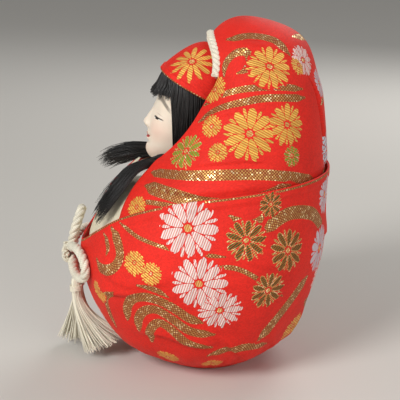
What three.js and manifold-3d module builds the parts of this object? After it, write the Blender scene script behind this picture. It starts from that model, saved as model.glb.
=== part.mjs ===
// A hime daruma: a seated princess doll of brocade wrapped over a padded papier-mache egg, with a
// white shell-paste head, silk hair, a tied cord on the belly and two tassels that hang from it.
// Millimetres, +Z up. The doll faces -Y, its left side is +X, and the origin is the middle of the
// flat base.

import * as THREE from "three";
import { mergeVertices } from "three/addons/utils/BufferGeometryUtils.js";
import Module from "manifold-3d";

const wasm = await Module();
wasm.setup();

// Driving dimensions

// Fit
const CLEARANCE = 0.3; // air left between neighbouring pieces

// Layers of the wrapped body, from the outside in
const CLOTH = 1.0; // brocade with its lining
const SILK = 0.8; // chest cloth and collars
const WADDING = 4.3; // cotton under the cloth
const CORE_WALL = 3.0; // papier-mache egg

// Heights of the body, each above the one before
const HIP_RISE = 16;
const BELLY_RISE = 30;
const CHEST_RISE = 28;
const CHIN_RISE = 12;
const THROAT_RISE = 10;
const CROWN_ROOM = 15.5; // from the top of the head to the top of the hood
const BROW_DROP = 26; // from the top of the hood down to its brow
const ARCH_DROP = 7.5; // from the top of the hood down to where it turns over

// Sections of the body: the line of greatest width, and the reach in front, behind and aside
const FOOT = { lean: 0, front: 20, back: 20, half: 20 };
const HIP = { lean: 0, front: 43, back: 37, half: 41 };
const BELLY = { lean: 0, front: 54, back: 49, half: 53 };
const CHEST = { lean: 4, front: 48, back: 46.5, half: 51 };
const THROAT = { lean: 10, front: 32, back: 40.5, half: 45 };
const BROW = { lean: 17, front: 21, back: 30, half: 34 };
const ARCH = { lean: 18, front: 17, back: 20.5, half: 20 };
const CROWN_LEAN = 15.5;

// Sections of the head from the underside of the chin up, each with its height above the last
const HEAD_LEAN = -6;
const CHIN = { rise: 2.5, front: 18, back: 8.5, half: 8 };
const JAW = { rise: 3.5, front: 19, back: 12, half: 11 };
const MOUTH = { rise: 5.5, front: 18.8, back: 15, half: 13.3 };
const CHEEK = { rise: 7.5, front: 17.8, back: 17, half: 15 };
const EYES = { rise: 6, front: 15.9, back: 18, half: 15.6 };
const FOREHEAD = { rise: 7, front: 12.8, back: 18, half: 15.6 };
const TEMPLE = { rise: 7, front: 8.2, back: 16.5, half: 13.5 };
const SCALP_RISE = 7.5;
const SCALP_LEAN = -1;
const UNDER_CHIN = { front: 14, back: 7, half: 6.5 };
const NOSE = { out: 3.3, half: 2.1, tall: 4.2, drop: 1.6 };
const LIPS = { out: 0.7, half: 3, tall: 1.9 };
const NECK_RADIUS = 6.5;
const NECK_LENGTH = 10;
const NECK_SHIFT = -2; // from the head's line of greatest width to the middle of the neck
const PEG_RADIUS = 2.5;
const PEG_LENGTH = 24;
const PEG_SOCKET = 8; // how far the peg goes up into the neck

// Hair and cap
const HAIR = 2.3;
const HAIR_LINE = 29.5; // from the chin up to the lower edge of the fringe
const HAIR_HEM = 4; // from the chin up to the lower edge of the hair at the sides
const HAIR_FRONT = 7.5; // from the line of greatest width forward to the hair at the cheek
const CAP = 1.1;
const CAP_RIM = 2.4; // depth of the folded rim
const CAP_RIM_LIFT = 0.5; // how far the folded rim stands out
const CAP_RIM_FRONT = { reach: 11.5, rise: 39 }; // a point of the rim: forward, and above the chin
const CAP_RIM_SLOPE = 0.57; // fall of the rim towards the back
const LOCK_HALF = [2.6, 3.4, 5.4, 7, 5]; // half widths of a lock of hair from the cheek to its tip
const LOCK_THICK = [1.1, 1.1, 1.1, 1.1, 0.6]; // half thicknesses
const LOCK_LEFT = [
  [18.5, 1.5],
  [20.5, -5.6],
  [20.5, -13],
  [19.5, -19.5],
]; // left lock on the chest: aside, and above the chin
const LOCK_RIGHT = [-13.4, 0.6]; // where the right lock leaves the chest
const LOCK_RIGHT_FREE = [
  [-1.2, -4.5, -1.6],
  [-2.2, -9.5, -3.6],
  [-2.8, -14, -6.5],
]; // its free end, from there

// Hood, robe and chest
const RIM_DROP = 6.5; // from the top of the hood down to the edge of its face opening
const RIM_CHEEK = 27; // half widths of the face opening on the way down
const RIM_JAW = 25.5;
const RIM_CHIN = 23;
const RIM_CHEST = 30;
const RIM_HEM = 35.5;
const STRIP_LOW = 13; // half widths of the strip between the two back pleats
const STRIP_HIGH = 21;
const PLEAT_LIFT = 0.7; // how far the side panels stand above that strip
const SEAM_FRONT = 6; // from the belly line up to the robe's upper edge in front
const SEAM_BACK = 12; // from the chest line up to that edge behind
const SEAM_RUN = 26; // how quickly the edge climbs from front to back
const SEAM_FOLD = 3.2; // depth of the folded upper edge
const SEAM_LIFT = 0.6; // how far the folded edge stands out
const HOOD_HEM = 8; // how far the hood goes down under the robe
const GATHERS = 9; // folds drawn in round the base
const GATHER_LIFT = 0.8;
const CHEST_HALF = 41;
const CHEST_TOP = 2; // from the chin down to the upper edge of the chest cloth
const NECK_SHELF = 5; // from the chin down to the wadding round the neck
const COLLAR = 3.2;
const COLLAR_LIFT = 0.8;
const PIPING = 1.2;
const PIPING_LIFT = 1.3;
const COLLAR_LINE = [
  [-2.4, -14.6],
  [0, -12.3],
  [9, -4.2],
  [12, -0.8],
]; // left neck line: aside, and above the chin

// Cords, knot and tassels
const HEAD_CORD = 4.2; // diameter
const HEAD_CORD_TURN = 70; // degrees from the top of the face opening to each end
const KNOT_CORD = 4.0;
const KNOT_GAP = 0.6; // air between the strands at the heart of the knot
const SIDE_LOOP = 24; // from the heart to the far side of a loop, at the middle of the cord
const TOP_LOOP = 17.5;
const LOOP_SPREAD = 0.04; // how far a loop bulges, in radians
const LEAVES = 4; // the loops are leaves of a four-leaved curve, and the tails take the lowest one's place
const KNOT_STAND = 2; // how far the heart stands off the robe, where the side loops lie on it
const KNOT_TAIL = 9; // from the heart down to the end of the cord
const TAIL_SPREAD = 3.1;
const HEART_RADIUS = 4.6;
const HEART_HALF = 1.8;
const STITCH_RADIUS = 0.6;
const TASSEL_NECK = 2.0;
const TASSEL_FLOOR = 1.5; // from the floor up to the tassels' ends
const TASSEL_STRAIGHT = 0.2; // share of a tassel that stays as slim as its neck
const TASSEL_CURVE = 1.4; // how late the fan opens
const TASSEL_FLUTES = 9;
const TASSEL_FLUTE = 0.1; // depth of a flute as a share of the tassel's radius
const BINDING_THREAD = 0.7;
const BINDING_GAP = 0.5;
const BINDING_TURNS = 3;
// Where each tassel's ends lie from its hinge: aside, back, and the half width and depth of the fan
const TASSELS = {
  left: { side: 1, aside: 5, back: 12, wide: 5.8, deep: 8 },
  right: { side: -1, aside: 4, back: 0, wide: 5, deep: 9 },
};

// Base and filling
const HEM = 3.7; // width of the robe's hem under the foot
const COVER = 0.8;
const CARD = 1.7;
const CARD_MARGIN = 2.3;
const THREAD = 1.0;
const WEIGHT_HEIGHT = 22;

// Fineness of the curved surfaces
const CLOTH_GRID = { steps: 4 * GATHERS, rings: 2 };
const FILLING_GRID = { steps: 2 * GATHERS, rings: 2 };
const HEAD_GRID = { steps: 24, rings: 2 };
const LOCK_GRID = { steps: 14, sides: 10 };
const HEAD_CORD_GRID = { steps: 20, sides: 10 };
const LOOP_STEPS = 24; // steps of one loop of the knot
const KNOT_SIDES = 6;
const BINDING_GRID = { steps: 10, sides: 5 }; // steps of one turn
const TASSEL_RINGS = 9;
const BALL_RINGS = [70, 35, 0]; // degrees above the middle of the ball
const ARCH_STEPS = 6;
const RIM_STEPS = 15;
const SEAM_STEPS = 24;
const ROUND_SIDES = 24;
const PIN_SIDES = 8;
const WIDE = 200; // larger than the doll, for cutting tools
const FULL_TURN = 2 * Math.PI;
const QUARTER_TURN = Math.PI / 2;
const NUDGE = 1e-3;

// Heights measured from the floor
const bellyHeight = HIP_RISE + BELLY_RISE;
const chestHeight = bellyHeight + CHEST_RISE;
const chinHeight = chestHeight + CHIN_RISE;
const headRises = [CHIN, JAW, MOUTH, CHEEK, EYES, FOREHEAD, TEMPLE].map((section) => section.rise);
const headTop = headRises.reduce((sum, rise) => sum + rise, chinHeight) + SCALP_RISE;
const crownHeight = headTop + CROWN_ROOM;

// Solids

function solidOf(geometry) {
  const bare = geometry.clone();
  bare.deleteAttribute("normal");
  bare.deleteAttribute("uv");
  const merged = mergeVertices(bare);
  const vertProperties = new Float32Array(merged.attributes.position.array);
  const triVerts = new Uint32Array(merged.index.array);
  return new wasm.Manifold(new wasm.Mesh({ numProp: 3, vertProperties, triVerts }));
}

function geometryOf(solid) {
  const { vertProperties, triVerts } = solid.getMesh();
  const geometry = new THREE.BufferGeometry();
  geometry.setAttribute("position", new THREE.BufferAttribute(vertProperties, 3));
  geometry.setIndex(new THREE.BufferAttribute(triVerts, 1));
  geometry.computeVertexNormals();
  return geometry;
}

// A closed solid through loops of points, each loop turning right-handed about the way it is stacked.
function loft(loops, tip = middleOf(loops.at(-1))) {
  const sides = loops[0].length;
  const points = [...loops.flat(), middleOf(loops[0]), tip];
  const index = [];
  const foot = points.length - 2;
  const top = points.length - 1;
  const lastLoop = (loops.length - 1) * sides;
  for (let j = 0; j < sides; j++) {
    const next = (j + 1) % sides;
    index.push(foot, next, j, top, lastLoop + j, lastLoop + next);
    for (let base = 0; base < lastLoop; base += sides) {
      index.push(base + j, base + next, base + next + sides);
      index.push(base + j, base + next + sides, base + j + sides);
    }
  }
  const geometry = new THREE.BufferGeometry().setFromPoints(points);
  geometry.setIndex(index);
  return solidOf(geometry);
}

function middleOf(loop) {
  return loop.reduce((sum, point) => sum.add(point), new THREE.Vector3()).divideScalar(loop.length);
}

function turns(count, make) {
  return Array.from({ length: count }, (_, i) => make((i * FULL_TURN) / count));
}

function tube(route, diameter, { steps, sides }) {
  const radius = diameter / 2;
  const outline = turns(sides, (a) => new THREE.Vector2(radius * Math.cos(a), radius * Math.sin(a)));
  const extrudePath = new THREE.CatmullRomCurve3(route);
  return solidOf(new THREE.ExtrudeGeometry(new THREE.Shape(outline), { steps, extrudePath }));
}

function disc(radius, low, high, at = new THREE.Vector2(), sides = 4 * GATHERS) {
  const geometry = new THREE.CylinderGeometry(radius, radius, high - low, sides);
  return solidOf(geometry.rotateX(QUARTER_TURN).translate(at.x, at.y, (low + high) / 2));
}

function ball(half, at) {
  const geometry = new THREE.SphereGeometry(1, ROUND_SIDES / 2, PIN_SIDES).scale(half.x, half.y, half.z);
  return solidOf(geometry.translate(at.x, at.y, at.z));
}

// All that lies between two heights
function layer(low, high) {
  return solidOf(new THREE.BoxGeometry(2 * WIDE, 2 * WIDE, high - low).translate(0, 0, (low + high) / 2));
}

// An outline seen from the front, carried through the doll between two depths
function throughFront(outline, front, back) {
  const basis = new THREE.Matrix4().makeBasis(
    new THREE.Vector3(1, 0, 0),
    new THREE.Vector3(0, 0, 1),
    new THREE.Vector3(0, -1, 0),
  );
  return extruded(outline, back - front, basis.setPosition(0, back, 0));
}

// An outline seen from the side, carried across the whole doll
function throughSide(outline) {
  const basis = new THREE.Matrix4().makeBasis(
    new THREE.Vector3(0, 1, 0),
    new THREE.Vector3(0, 0, 1),
    new THREE.Vector3(1, 0, 0),
  );
  return extruded(outline, 2 * WIDE, basis.setPosition(-WIDE, 0, 0));
}

function extruded(outline, depth, matrix) {
  const shape = new THREE.Shape(outline.map(([u, v]) => new THREE.Vector2(u, v)));
  const geometry = new THREE.ExtrudeGeometry(shape, { depth, bevelEnabled: false });
  return solidOf(geometry.applyMatrix4(matrix));
}

// The strip between two lines drawn beside a polyline, to its left where the distance is positive
function stripBeside(line, from, to) {
  const beside = (distance) =>
    line.map(([u, v], i) => {
      const before = line[Math.max(i - 1, 0)];
      const after = line[Math.min(i + 1, line.length - 1)];
      const along = new THREE.Vector2(after[0] - before[0], after[1] - before[1]).normalize();
      return [u - along.y * distance, v + along.x * distance];
    });
  return [...beside(from), ...beside(to).reverse()];
}

function mirrored(outline) {
  return outline.map(([u, v]) => [-u, v]).reverse();
}

function smoothstep(low, high, value) {
  return THREE.MathUtils.smoothstep(value, low, high);
}

function catmullRom(a, b, c, d, u) {
  const slopeIn = (c - a) / 2;
  const slopeOut = (d - b) / 2;
  const square = u * u;
  const cube = square * u;
  const rest = (2 * cube - 3 * square + 1) * b + (3 * square - 2 * cube) * c;
  return rest + (cube - 2 * square + u) * slopeIn + (cube - square) * slopeOut;
}

// The least air between a cord and itself, where two places lie more than `apart` along it
function leastGap(route, diameter, apart) {
  const curve = new THREE.CatmullRomCurve3(route);
  const count = 400;
  const points = curve.getSpacedPoints(count);
  const skip = Math.ceil((apart / curve.getLength()) * count);
  let least = Infinity;
  for (let i = 0; i <= count; i++) {
    for (let j = i + skip; j <= count; j++) {
      least = Math.min(least, points[i].distanceTo(points[j]));
    }
  }
  return least - diameter;
}

// A rounded skin through level sections, closed over at the top
class Skin {
  constructor(sections, top) {
    this.rows = sections.map(({ height, lean, front, back, half }) => [
      height,
      lean - front,
      lean,
      lean + back,
      half,
    ]);
    this.rows.push([top.height, top.lean, top.lean, top.lean, 0]);
    this.last = sections.length;
  }

  control(k) {
    if (k < 0) return this.rows[0].map((value, j) => 2 * value - this.rows[1][j]);
    if (k <= this.last) return this.rows[k];
    const [height, front, lean, back, half] = this.rows[this.last - 1];
    return [height, back, lean, front, -half];
  }

  section(t) {
    const i = Math.min(Math.floor(t), this.last - 1);
    const [a, b, c, d] = [i - 1, i, i + 1, i + 2].map((k) => this.control(k));
    return b.map((_, j) => catmullRom(a[j], b[j], c[j], d[j], t - i));
  }

  // The turn starts in front and goes round by the left side.
  point(turn, t) {
    const [height, front, lean, back, half] = this.section(t);
    const forward = Math.cos(turn);
    const reach = forward > 0 ? lean - front : back - lean;
    return new THREE.Vector3(half * Math.sin(turn), lean - forward * reach, height);
  }

  normal(turn, t) {
    const low = Math.max(t - NUDGE, 0);
    const high = Math.min(t + NUDGE, this.last);
    const round = this.point(turn + NUDGE, t).sub(this.point(turn - NUDGE, t));
    const up = this.point(turn, high).sub(this.point(turn, low));
    return round.cross(up).normalize();
  }

  level(height) {
    let low = 0;
    let high = this.last;
    while (high - low > NUDGE) {
      const half = (low + high) / 2;
      if (this.section(half)[0] < height) low = half;
      else high = half;
    }
    return low;
  }

  // The place in front of the skin at x and a height, lifted off it
  over(x, height, lift) {
    const t = this.level(height);
    const turn = Math.asin(THREE.MathUtils.clamp(x / this.section(t)[4], -1, 1));
    return this.point(turn, t).addScaledVector(this.normal(turn, t), lift);
  }

  // The solid inside the skin, grown by an offset, from one of its sections up
  solid(offset, { steps, rings }, from = 0) {
    const offsetAt = typeof offset === "function" ? offset : () => offset;
    const loops = [];
    for (let i = from * rings; i < this.last * rings; i++) {
      const t = i / rings;
      loops.push(
        turns(steps, (turn) => {
          const point = this.point(turn, t);
          return point.addScaledVector(this.normal(turn, t), offsetAt(turn, point.z));
        }),
      );
    }
    const tip = this.point(0, this.last);
    tip.z += offsetAt(0, tip.z);
    return loft(loops, tip);
  }
}

const throatHeight = chinHeight + THROAT_RISE;
const browHeight = crownHeight - BROW_DROP;
const archHeight = crownHeight - ARCH_DROP;
const body = new Skin(
  [
    { height: 0, ...FOOT },
    { height: HIP_RISE, ...HIP },
    { height: bellyHeight, ...BELLY },
    { height: chestHeight, ...CHEST },
    { height: throatHeight, ...THROAT },
    { height: browHeight, ...BROW },
    { height: archHeight, ...ARCH },
  ],
  { height: crownHeight, lean: CROWN_LEAN },
);

const headSections = [{ height: chinHeight, lean: HEAD_LEAN, ...UNDER_CHIN }];
for (const section of [CHIN, JAW, MOUTH, CHEEK, EYES, FOREHEAD, TEMPLE]) {
  const height = headSections.at(-1).height + section.rise;
  headSections.push({ ...section, height, lean: HEAD_LEAN });
}
const skull = new Skin(headSections, { height: headTop, lean: SCALP_LEAN });
const HEAD_FROM_CHIN = 1; // index of the section where hair and cap start
const [jawHeight, mouthHeight, cheekHeight] = headSections.slice(2, 5).map((section) => section.height);

// Offsets of the layers from the outer skin
const robeInside = -CLOTH;
const hoodOutside = robeInside - CLEARANCE;
const hoodInside = hoodOutside - CLOTH;
const chestOutside = hoodInside - CLEARANCE;
const chestInside = chestOutside - SILK;
const waddingOutside = chestInside - CLEARANCE;
const waddingInside = waddingOutside - WADDING;
const coreOutside = waddingInside - CLEARANCE;
const coreInside = coreOutside - CORE_WALL;
const fillingOutside = coreInside - CLEARANCE;

// Offsets of the layers on the head
const hairOutside = CLEARANCE + HAIR;
const capInside = hairOutside + CLEARANCE;
const capOutside = capInside + CAP;
const capRimOutside = capOutside + CAP_RIM_LIFT;

// The robe's upper edge, falling steeply in front
const beltHeight = bellyHeight + SEAM_FRONT;
const seamClimb = chestHeight + SEAM_BACK - beltHeight;

function seamHeight(y) {
  return beltHeight + seamClimb * (1 - Math.exp(-(y + BELLY.front) / SEAM_RUN));
}

// Everything above the robe's edge when it is moved up or down by a drop
function aboveSeam(drop) {
  const ends = BELLY.front + CLOTH + SEAM_LIFT;
  const curve = Array.from({ length: SEAM_STEPS + 1 }, (_, i) => {
    const y = -ends + (2 * ends * i) / SEAM_STEPS;
    return [y, seamHeight(y) - drop];
  });
  const [, frontEnd] = curve[0];
  const [, backEnd] = curve.at(-1);
  return throughSide([[-WIDE, frontEnd], ...curve, [WIDE, backEnd], [WIDE, WIDE], [-WIDE, WIDE]]);
}

// The face opening: an arch over the cap, drawn in under the chin and wide over the chest
const archHalf = FOREHEAD.half + capOutside + HEAD_CORD + CLEARANCE;
const archTop = crownHeight - RIM_DROP;
const archCentre = headTop - SCALP_RISE - TEMPLE.rise;
const rimBottom = beltHeight - HOOD_HEM - CLOTH;

function faceOpening() {
  const arch = Array.from({ length: ARCH_STEPS }, (_, i) => {
    const a = (i * QUARTER_TURN) / ARCH_STEPS;
    return [archHalf * Math.sin(a), archCentre + (archTop - archCentre) * Math.cos(a)];
  });
  const side = new THREE.SplineCurve(
    [
      [archHalf, archCentre],
      [RIM_CHEEK, cheekHeight],
      [RIM_JAW, jawHeight + CHIN.rise],
      [RIM_CHIN, chinHeight + CHIN.rise],
      [RIM_CHEST, chestHeight],
      [RIM_HEM, beltHeight],
    ].map(([x, z]) => new THREE.Vector2(x, z)),
  );
  const edge = side.getPoints(RIM_STEPS).map(({ x, y }) => [x, y]);
  const right = [...arch, ...edge, [RIM_HEM, rimBottom]];
  return [...right, ...mirrored(right).slice(0, -1)];
}

// Pieces of the egg and its filling

const coreOpenHeight = chestHeight; // the egg is open at the chest line
const footRadius = Math.min(FOOT.front, FOOT.back, FOOT.half);
const coverRadius = footRadius - HEM - CLEARANCE;
const cardRadius = coverRadius - CARD_MARGIN;
const cardTop = COVER + CLEARANCE + CARD;
const neckAt = new THREE.Vector2(0, HEAD_LEAN + NECK_SHIFT);
const neckBottom = chinHeight - NECK_LENGTH;
const pegTop = neckBottom + PEG_SOCKET;
const fillingTop = coreOpenHeight - CLEARANCE;
const pegBottom = pegTop - PEG_LENGTH;
const pegHole = disc(PEG_RADIUS + CLEARANCE, pegBottom - CLEARANCE, pegTop + CLEARANCE, neckAt);

function baseCover() {
  return disc(coverRadius, 0, COVER);
}

function baseCard() {
  return disc(cardRadius, COVER + CLEARANCE, cardTop);
}

function gatheringThread() {
  const ring = coverRadius + CLEARANCE + THREAD;
  const height = CLOTH + CLEARANCE + THREAD / 2;
  const geometry = new THREE.TorusGeometry(ring, THREAD / 2, BINDING_GRID.sides, ROUND_SIDES);
  return solidOf(geometry.translate(0, 0, height));
}

function baseWeight() {
  return body.solid(fillingOutside, FILLING_GRID).intersect(layer(0, WEIGHT_HEIGHT));
}

function stuffing() {
  const room = layer(WEIGHT_HEIGHT + CLEARANCE, fillingTop);
  return body.solid(fillingOutside, FILLING_GRID).intersect(room).subtract(pegHole);
}

function bodyCore() {
  const shell = body.solid(coreOutside, FILLING_GRID).subtract(body.solid(coreInside, FILLING_GRID));
  return shell.intersect(layer(0, coreOpenHeight));
}

function bodyWadding() {
  const outer = body.solid(waddingOutside, FILLING_GRID);
  const shell = outer.subtract(body.solid(waddingInside, FILLING_GRID));
  return shell.intersect(layer(cardTop + CLEARANCE, coreOpenHeight));
}

function hoodWadding() {
  const above = layer(coreOpenHeight + CLEARANCE, WIDE);
  const cordDepth = body.over(0, archTop, 0).y + HEAD_CORD / 2 + HEAD_CORD;
  const aboveShelf = layer(chinHeight - NECK_SHELF, WIDE);
  const tunnel = throughFront(faceOpening(), -WIDE, cordDepth).intersect(aboveShelf);
  const headRoom = skull.solid(capRimOutside + CLEARANCE, HEAD_GRID, HEAD_FROM_CHIN);
  const neckRoom = disc(NECK_RADIUS + CLEARANCE, neckBottom - CLEARANCE, jawHeight, neckAt);
  const room = tunnel.add(headRoom).add(neckRoom).add(pegHole);
  return body.solid(waddingOutside, FILLING_GRID).intersect(above).subtract(room);
}

function neckPeg() {
  return disc(PEG_RADIUS, pegBottom, pegTop, neckAt, 2 * PIN_SIDES);
}

// Head, hair and cap

function head() {
  const faceFront = (height) => skull.over(0, height, 0).y;
  const noseHeight = cheekHeight - NOSE.drop;
  const noseAt = new THREE.Vector3(0, faceFront(noseHeight), noseHeight);
  const lipsAt = new THREE.Vector3(0, faceFront(mouthHeight), mouthHeight);
  const nose = ball(new THREE.Vector3(NOSE.half, NOSE.out, NOSE.tall), noseAt);
  const lips = ball(new THREE.Vector3(LIPS.half, LIPS.out, LIPS.tall), lipsAt);
  const neck = disc(NECK_RADIUS, neckBottom, jawHeight, neckAt, ROUND_SIDES);
  return skull.solid(0, HEAD_GRID).add(nose).add(lips).add(neck).subtract(pegHole);
}

function hair() {
  const inside = skull.solid(CLEARANCE, HEAD_GRID, HEAD_FROM_CHIN);
  const shell = skull.solid(hairOutside, HEAD_GRID, HEAD_FROM_CHIN).subtract(inside);
  const cheekLine = HEAD_LEAN - HAIR_FRONT;
  const faceLine = chinHeight + HAIR_LINE;
  const face = throughSide([
    [-WIDE, -WIDE],
    [cheekLine, -WIDE],
    [cheekLine, faceLine],
    [-WIDE, faceLine],
  ]);
  return shell.intersect(layer(chinHeight + HAIR_HEM, WIDE)).subtract(face);
}

// Everything above the cap's rim when the rim is moved up by a rise
function aboveCapRim(rise) {
  const at = [HEAD_LEAN - CAP_RIM_FRONT.reach, chinHeight + CAP_RIM_FRONT.rise + rise];
  const front = [at[0] - WIDE, at[1] + CAP_RIM_SLOPE * WIDE];
  const back = [at[0] + WIDE, at[1] - CAP_RIM_SLOPE * WIDE];
  return throughSide([front, back, [back[0], WIDE + front[1]], [front[0], WIDE + front[1]]]);
}

function cap() {
  const rim = skull.solid(capRimOutside, HEAD_GRID, HEAD_FROM_CHIN).subtract(aboveCapRim(CAP_RIM));
  const outer = skull.solid(capOutside, HEAD_GRID, HEAD_FROM_CHIN).add(rim);
  const shell = outer.subtract(skull.solid(capInside, HEAD_GRID, HEAD_FROM_CHIN));
  return shell.intersect(aboveCapRim(0));
}

// A flat tapering strand: its middle line, the way it faces, half widths and half thicknesses
function strand(route, facing, halves, thick) {
  const { steps, sides } = LOCK_GRID;
  const path = new THREE.CatmullRomCurve3(route);
  const faces = new THREE.CatmullRomCurve3(facing);
  const along = (list, u) => {
    const at = u * (list.length - 1);
    const i = Math.min(Math.floor(at), list.length - 2);
    return THREE.MathUtils.lerp(list[i], list[i + 1], at - i);
  };
  const loops = Array.from({ length: steps + 1 }, (_, i) => {
    const u = i / steps;
    const forward = path.getTangent(u);
    const side = faces.getPoint(u).cross(forward).normalize();
    const out = forward.clone().cross(side);
    return turns(sides, (a) =>
      path
        .getPoint(u)
        .addScaledVector(side, along(halves, u) * Math.cos(a))
        .addScaledVector(out, along(thick, u) * Math.sin(a)),
    );
  });
  return loft(loops);
}

const lockLift = PIPING_LIFT + chestOutside + CLEARANCE + CLEARANCE + LOCK_THICK[1];
const lockTop = new THREE.Vector3(
  JAW.half + CLEARANCE + LOCK_THICK[0],
  HEAD_LEAN - HAIR_FRONT,
  chinHeight + HAIR_HEM - CLEARANCE,
);

// The way that each lock faces at the cheek and on the chest
const LEFT_FACING = [new THREE.Vector3(1, -0.2, 0), new THREE.Vector3(0.25, -0.75, 0.6)];
const RIGHT_FACING = [new THREE.Vector3(-1, -0.2, 0), new THREE.Vector3(-0.5, -0.3, 0.8)];

function hairLock(route, [atCheek, below]) {
  const facing = [atCheek, ...route.slice(1).map(() => below)];
  return strand(route, facing, LOCK_HALF, LOCK_THICK);
}

function hairLockLeft() {
  const lying = LOCK_LEFT.map(([x, rise]) => body.over(x, chinHeight + rise, lockLift));
  return hairLock([lockTop, ...lying], LEFT_FACING);
}

function hairLockRight() {
  const root = lockTop.clone().setX(-lockTop.x);
  const [x, rise] = LOCK_RIGHT;
  const lying = body.over(x, chinHeight + rise, lockLift + CLOTH);
  const free = LOCK_RIGHT_FREE.map((step) => lying.clone().add(new THREE.Vector3(...step)));
  return hairLock([root, lying, ...free], RIGHT_FACING);
}

// The cord that lies in the arch of the face opening, over the cap
function headCord() {
  const inset = HEAD_CORD / 2 + CLEARANCE;
  const { steps } = HEAD_CORD_GRID;
  const route = Array.from({ length: steps + 1 }, (_, i) => {
    const a = THREE.MathUtils.degToRad(HEAD_CORD_TURN * ((2 * i) / steps - 1));
    const x = (archHalf - inset) * Math.sin(a);
    const z = archCentre + (archTop - inset - archCentre) * Math.cos(a);
    return new THREE.Vector3(x, body.over(x, z, hoodOutside).y, z);
  });
  return tube(route, HEAD_CORD, HEAD_CORD_GRID);
}

// Cloth

function hood() {
  const raised = (turn, height) => {
    const fade = 1 - smoothstep(browHeight - HOOD_HEM, archHeight, height);
    return hoodOutside - NUDGE + PLEAT_LIFT * fade;
  };
  const strip = throughFront(
    [
      [-STRIP_LOW, 0],
      [STRIP_LOW, 0],
      [STRIP_LOW, chinHeight],
      [STRIP_HIGH, archHeight],
      [STRIP_HIGH, WIDE],
      [-STRIP_HIGH, WIDE],
      [-STRIP_HIGH, archHeight],
      [-STRIP_LOW, chinHeight],
    ],
    ARCH.lean,
    WIDE,
  );
  const panels = body.solid(raised, CLOTH_GRID).intersect(aboveSeam(-CLEARANCE)).subtract(strip);
  const outer = body.solid(hoodOutside, CLOTH_GRID).add(panels);
  const shell = outer.subtract(body.solid(hoodInside, CLOTH_GRID)).intersect(aboveSeam(HOOD_HEM));
  const openingBack = body.over(0, archTop, 0).y + CLOTH + HEAD_CORD;
  return shell.subtract(throughFront(faceOpening(), -WIDE, openingBack));
}

function robe() {
  const gathered = (turn, height) => {
    const fade = smoothstep(0, HIP_RISE, height) * (1 - smoothstep(HIP_RISE, bellyHeight, height));
    return GATHER_LIFT * fade * (0.5 + 0.5 * Math.cos(GATHERS * turn));
  };
  const fold = body.solid(SEAM_LIFT, CLOTH_GRID).intersect(aboveSeam(SEAM_FOLD));
  const outer = body.solid(gathered, CLOTH_GRID).add(fold);
  const shell = outer.subtract(body.solid(robeInside, CLOTH_GRID)).subtract(aboveSeam(0));
  const hemHole = disc(coverRadius + CLEARANCE, -CLOTH, 2 * CLOTH);
  const stitchHole = knotPin(STITCH_RADIUS + CLEARANCE, stitchFront, stitchBack);
  return shell.subtract(hemHole).subtract(stitchHole);
}

function chestCloth() {
  const shell = body.solid(chestOutside, CLOTH_GRID).subtract(body.solid(chestInside, CLOTH_GRID));
  const high = chinHeight - CHEST_TOP;
  const outline = [
    [-CHEST_HALF, rimBottom],
    [CHEST_HALF, rimBottom],
    [CHEST_HALF, high],
    [-CHEST_HALF, high],
  ];
  return shell.intersect(throughFront(outline, -WIDE, CHEST.lean));
}

// A flat band of silk on the chest, from an outline seen from the front
function onChest(outline, lift) {
  const low = chestOutside + CLEARANCE;
  const shell = body.solid(low + lift, CLOTH_GRID).subtract(body.solid(low, CLOTH_GRID));
  return shell.intersect(throughFront(outline, -WIDE, HEAD_LEAN));
}

const neckLine = COLLAR_LINE.map(([x, rise]) => [x, chinHeight + rise]);
const collarOutline = stripBeside(neckLine, 0, COLLAR);
const pipingOutline = stripBeside(neckLine, -CLEARANCE - PIPING, -CLEARANCE);
const leftCollarRoom = stripBeside(neckLine, -2 * CLEARANCE - PIPING, COLLAR + CLEARANCE);

function underLeftCollar(solid) {
  return solid.subtract(throughFront(leftCollarRoom, -WIDE, HEAD_LEAN));
}

// Parts of a right band that the left collar cuts off fall away, and the piece beside the neck stays.
function besideNeck(solid) {
  const pieces = solid.decompose();
  return pieces.reduce((large, piece) => (piece.volume() > large.volume() ? piece : large));
}

// Knot and tassels

const knotLift = KNOT_CORD / 2 + CLEARANCE;
const knotWaist = (KNOT_CORD + KNOT_GAP) / Math.SQRT2;

function knotPoint(u, v) {
  const stand = KNOT_STAND * (1 - smoothstep(HEART_RADIUS, SIDE_LOOP, Math.abs(u)));
  return body.over(u, bellyHeight + v, knotLift + stand);
}

// Tail, left loop, upper loop, right loop and tail, in one cord
function knotRoute() {
  const tail = [
    [TAIL_SPREAD, -KNOT_TAIL],
    [TAIL_SPREAD, (-KNOT_TAIL - knotWaist) / 2],
  ];
  const points = tail.map(([u, v]) => knotPoint(-u, v));
  const leaf = FULL_TURN / LEAVES;
  const count = ((LEAVES - 1) * LOOP_STEPS) / 2;
  for (let i = 0; i <= count; i++) {
    const turn = Math.PI + leaf / 2 - ((LEAVES - 1) * leaf * i) / count;
    const far = THREE.MathUtils.lerp(TOP_LOOP, SIDE_LOOP, Math.cos(turn) ** 2);
    const share = (1 + Math.cos(LEAVES * turn)) / 2;
    const reach = THREE.MathUtils.lerp(knotWaist, far, share);
    const angle = turn + LOOP_SPREAD * Math.sin(LEAVES * turn);
    points.push(knotPoint(reach * Math.cos(angle), reach * Math.sin(angle)));
  }
  points.push(...tail.reverse().map(([u, v]) => knotPoint(u, v)));
  return points;
}

function knotCord() {
  return tube(knotRoute(), KNOT_CORD, { steps: (LEAVES - 1) * LOOP_STEPS, sides: KNOT_SIDES });
}

// The heart is a dome laid over the strands where they cross.
const heartBack = knotPoint(0, 0).y - KNOT_CORD / 2 - CLEARANCE;

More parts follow.
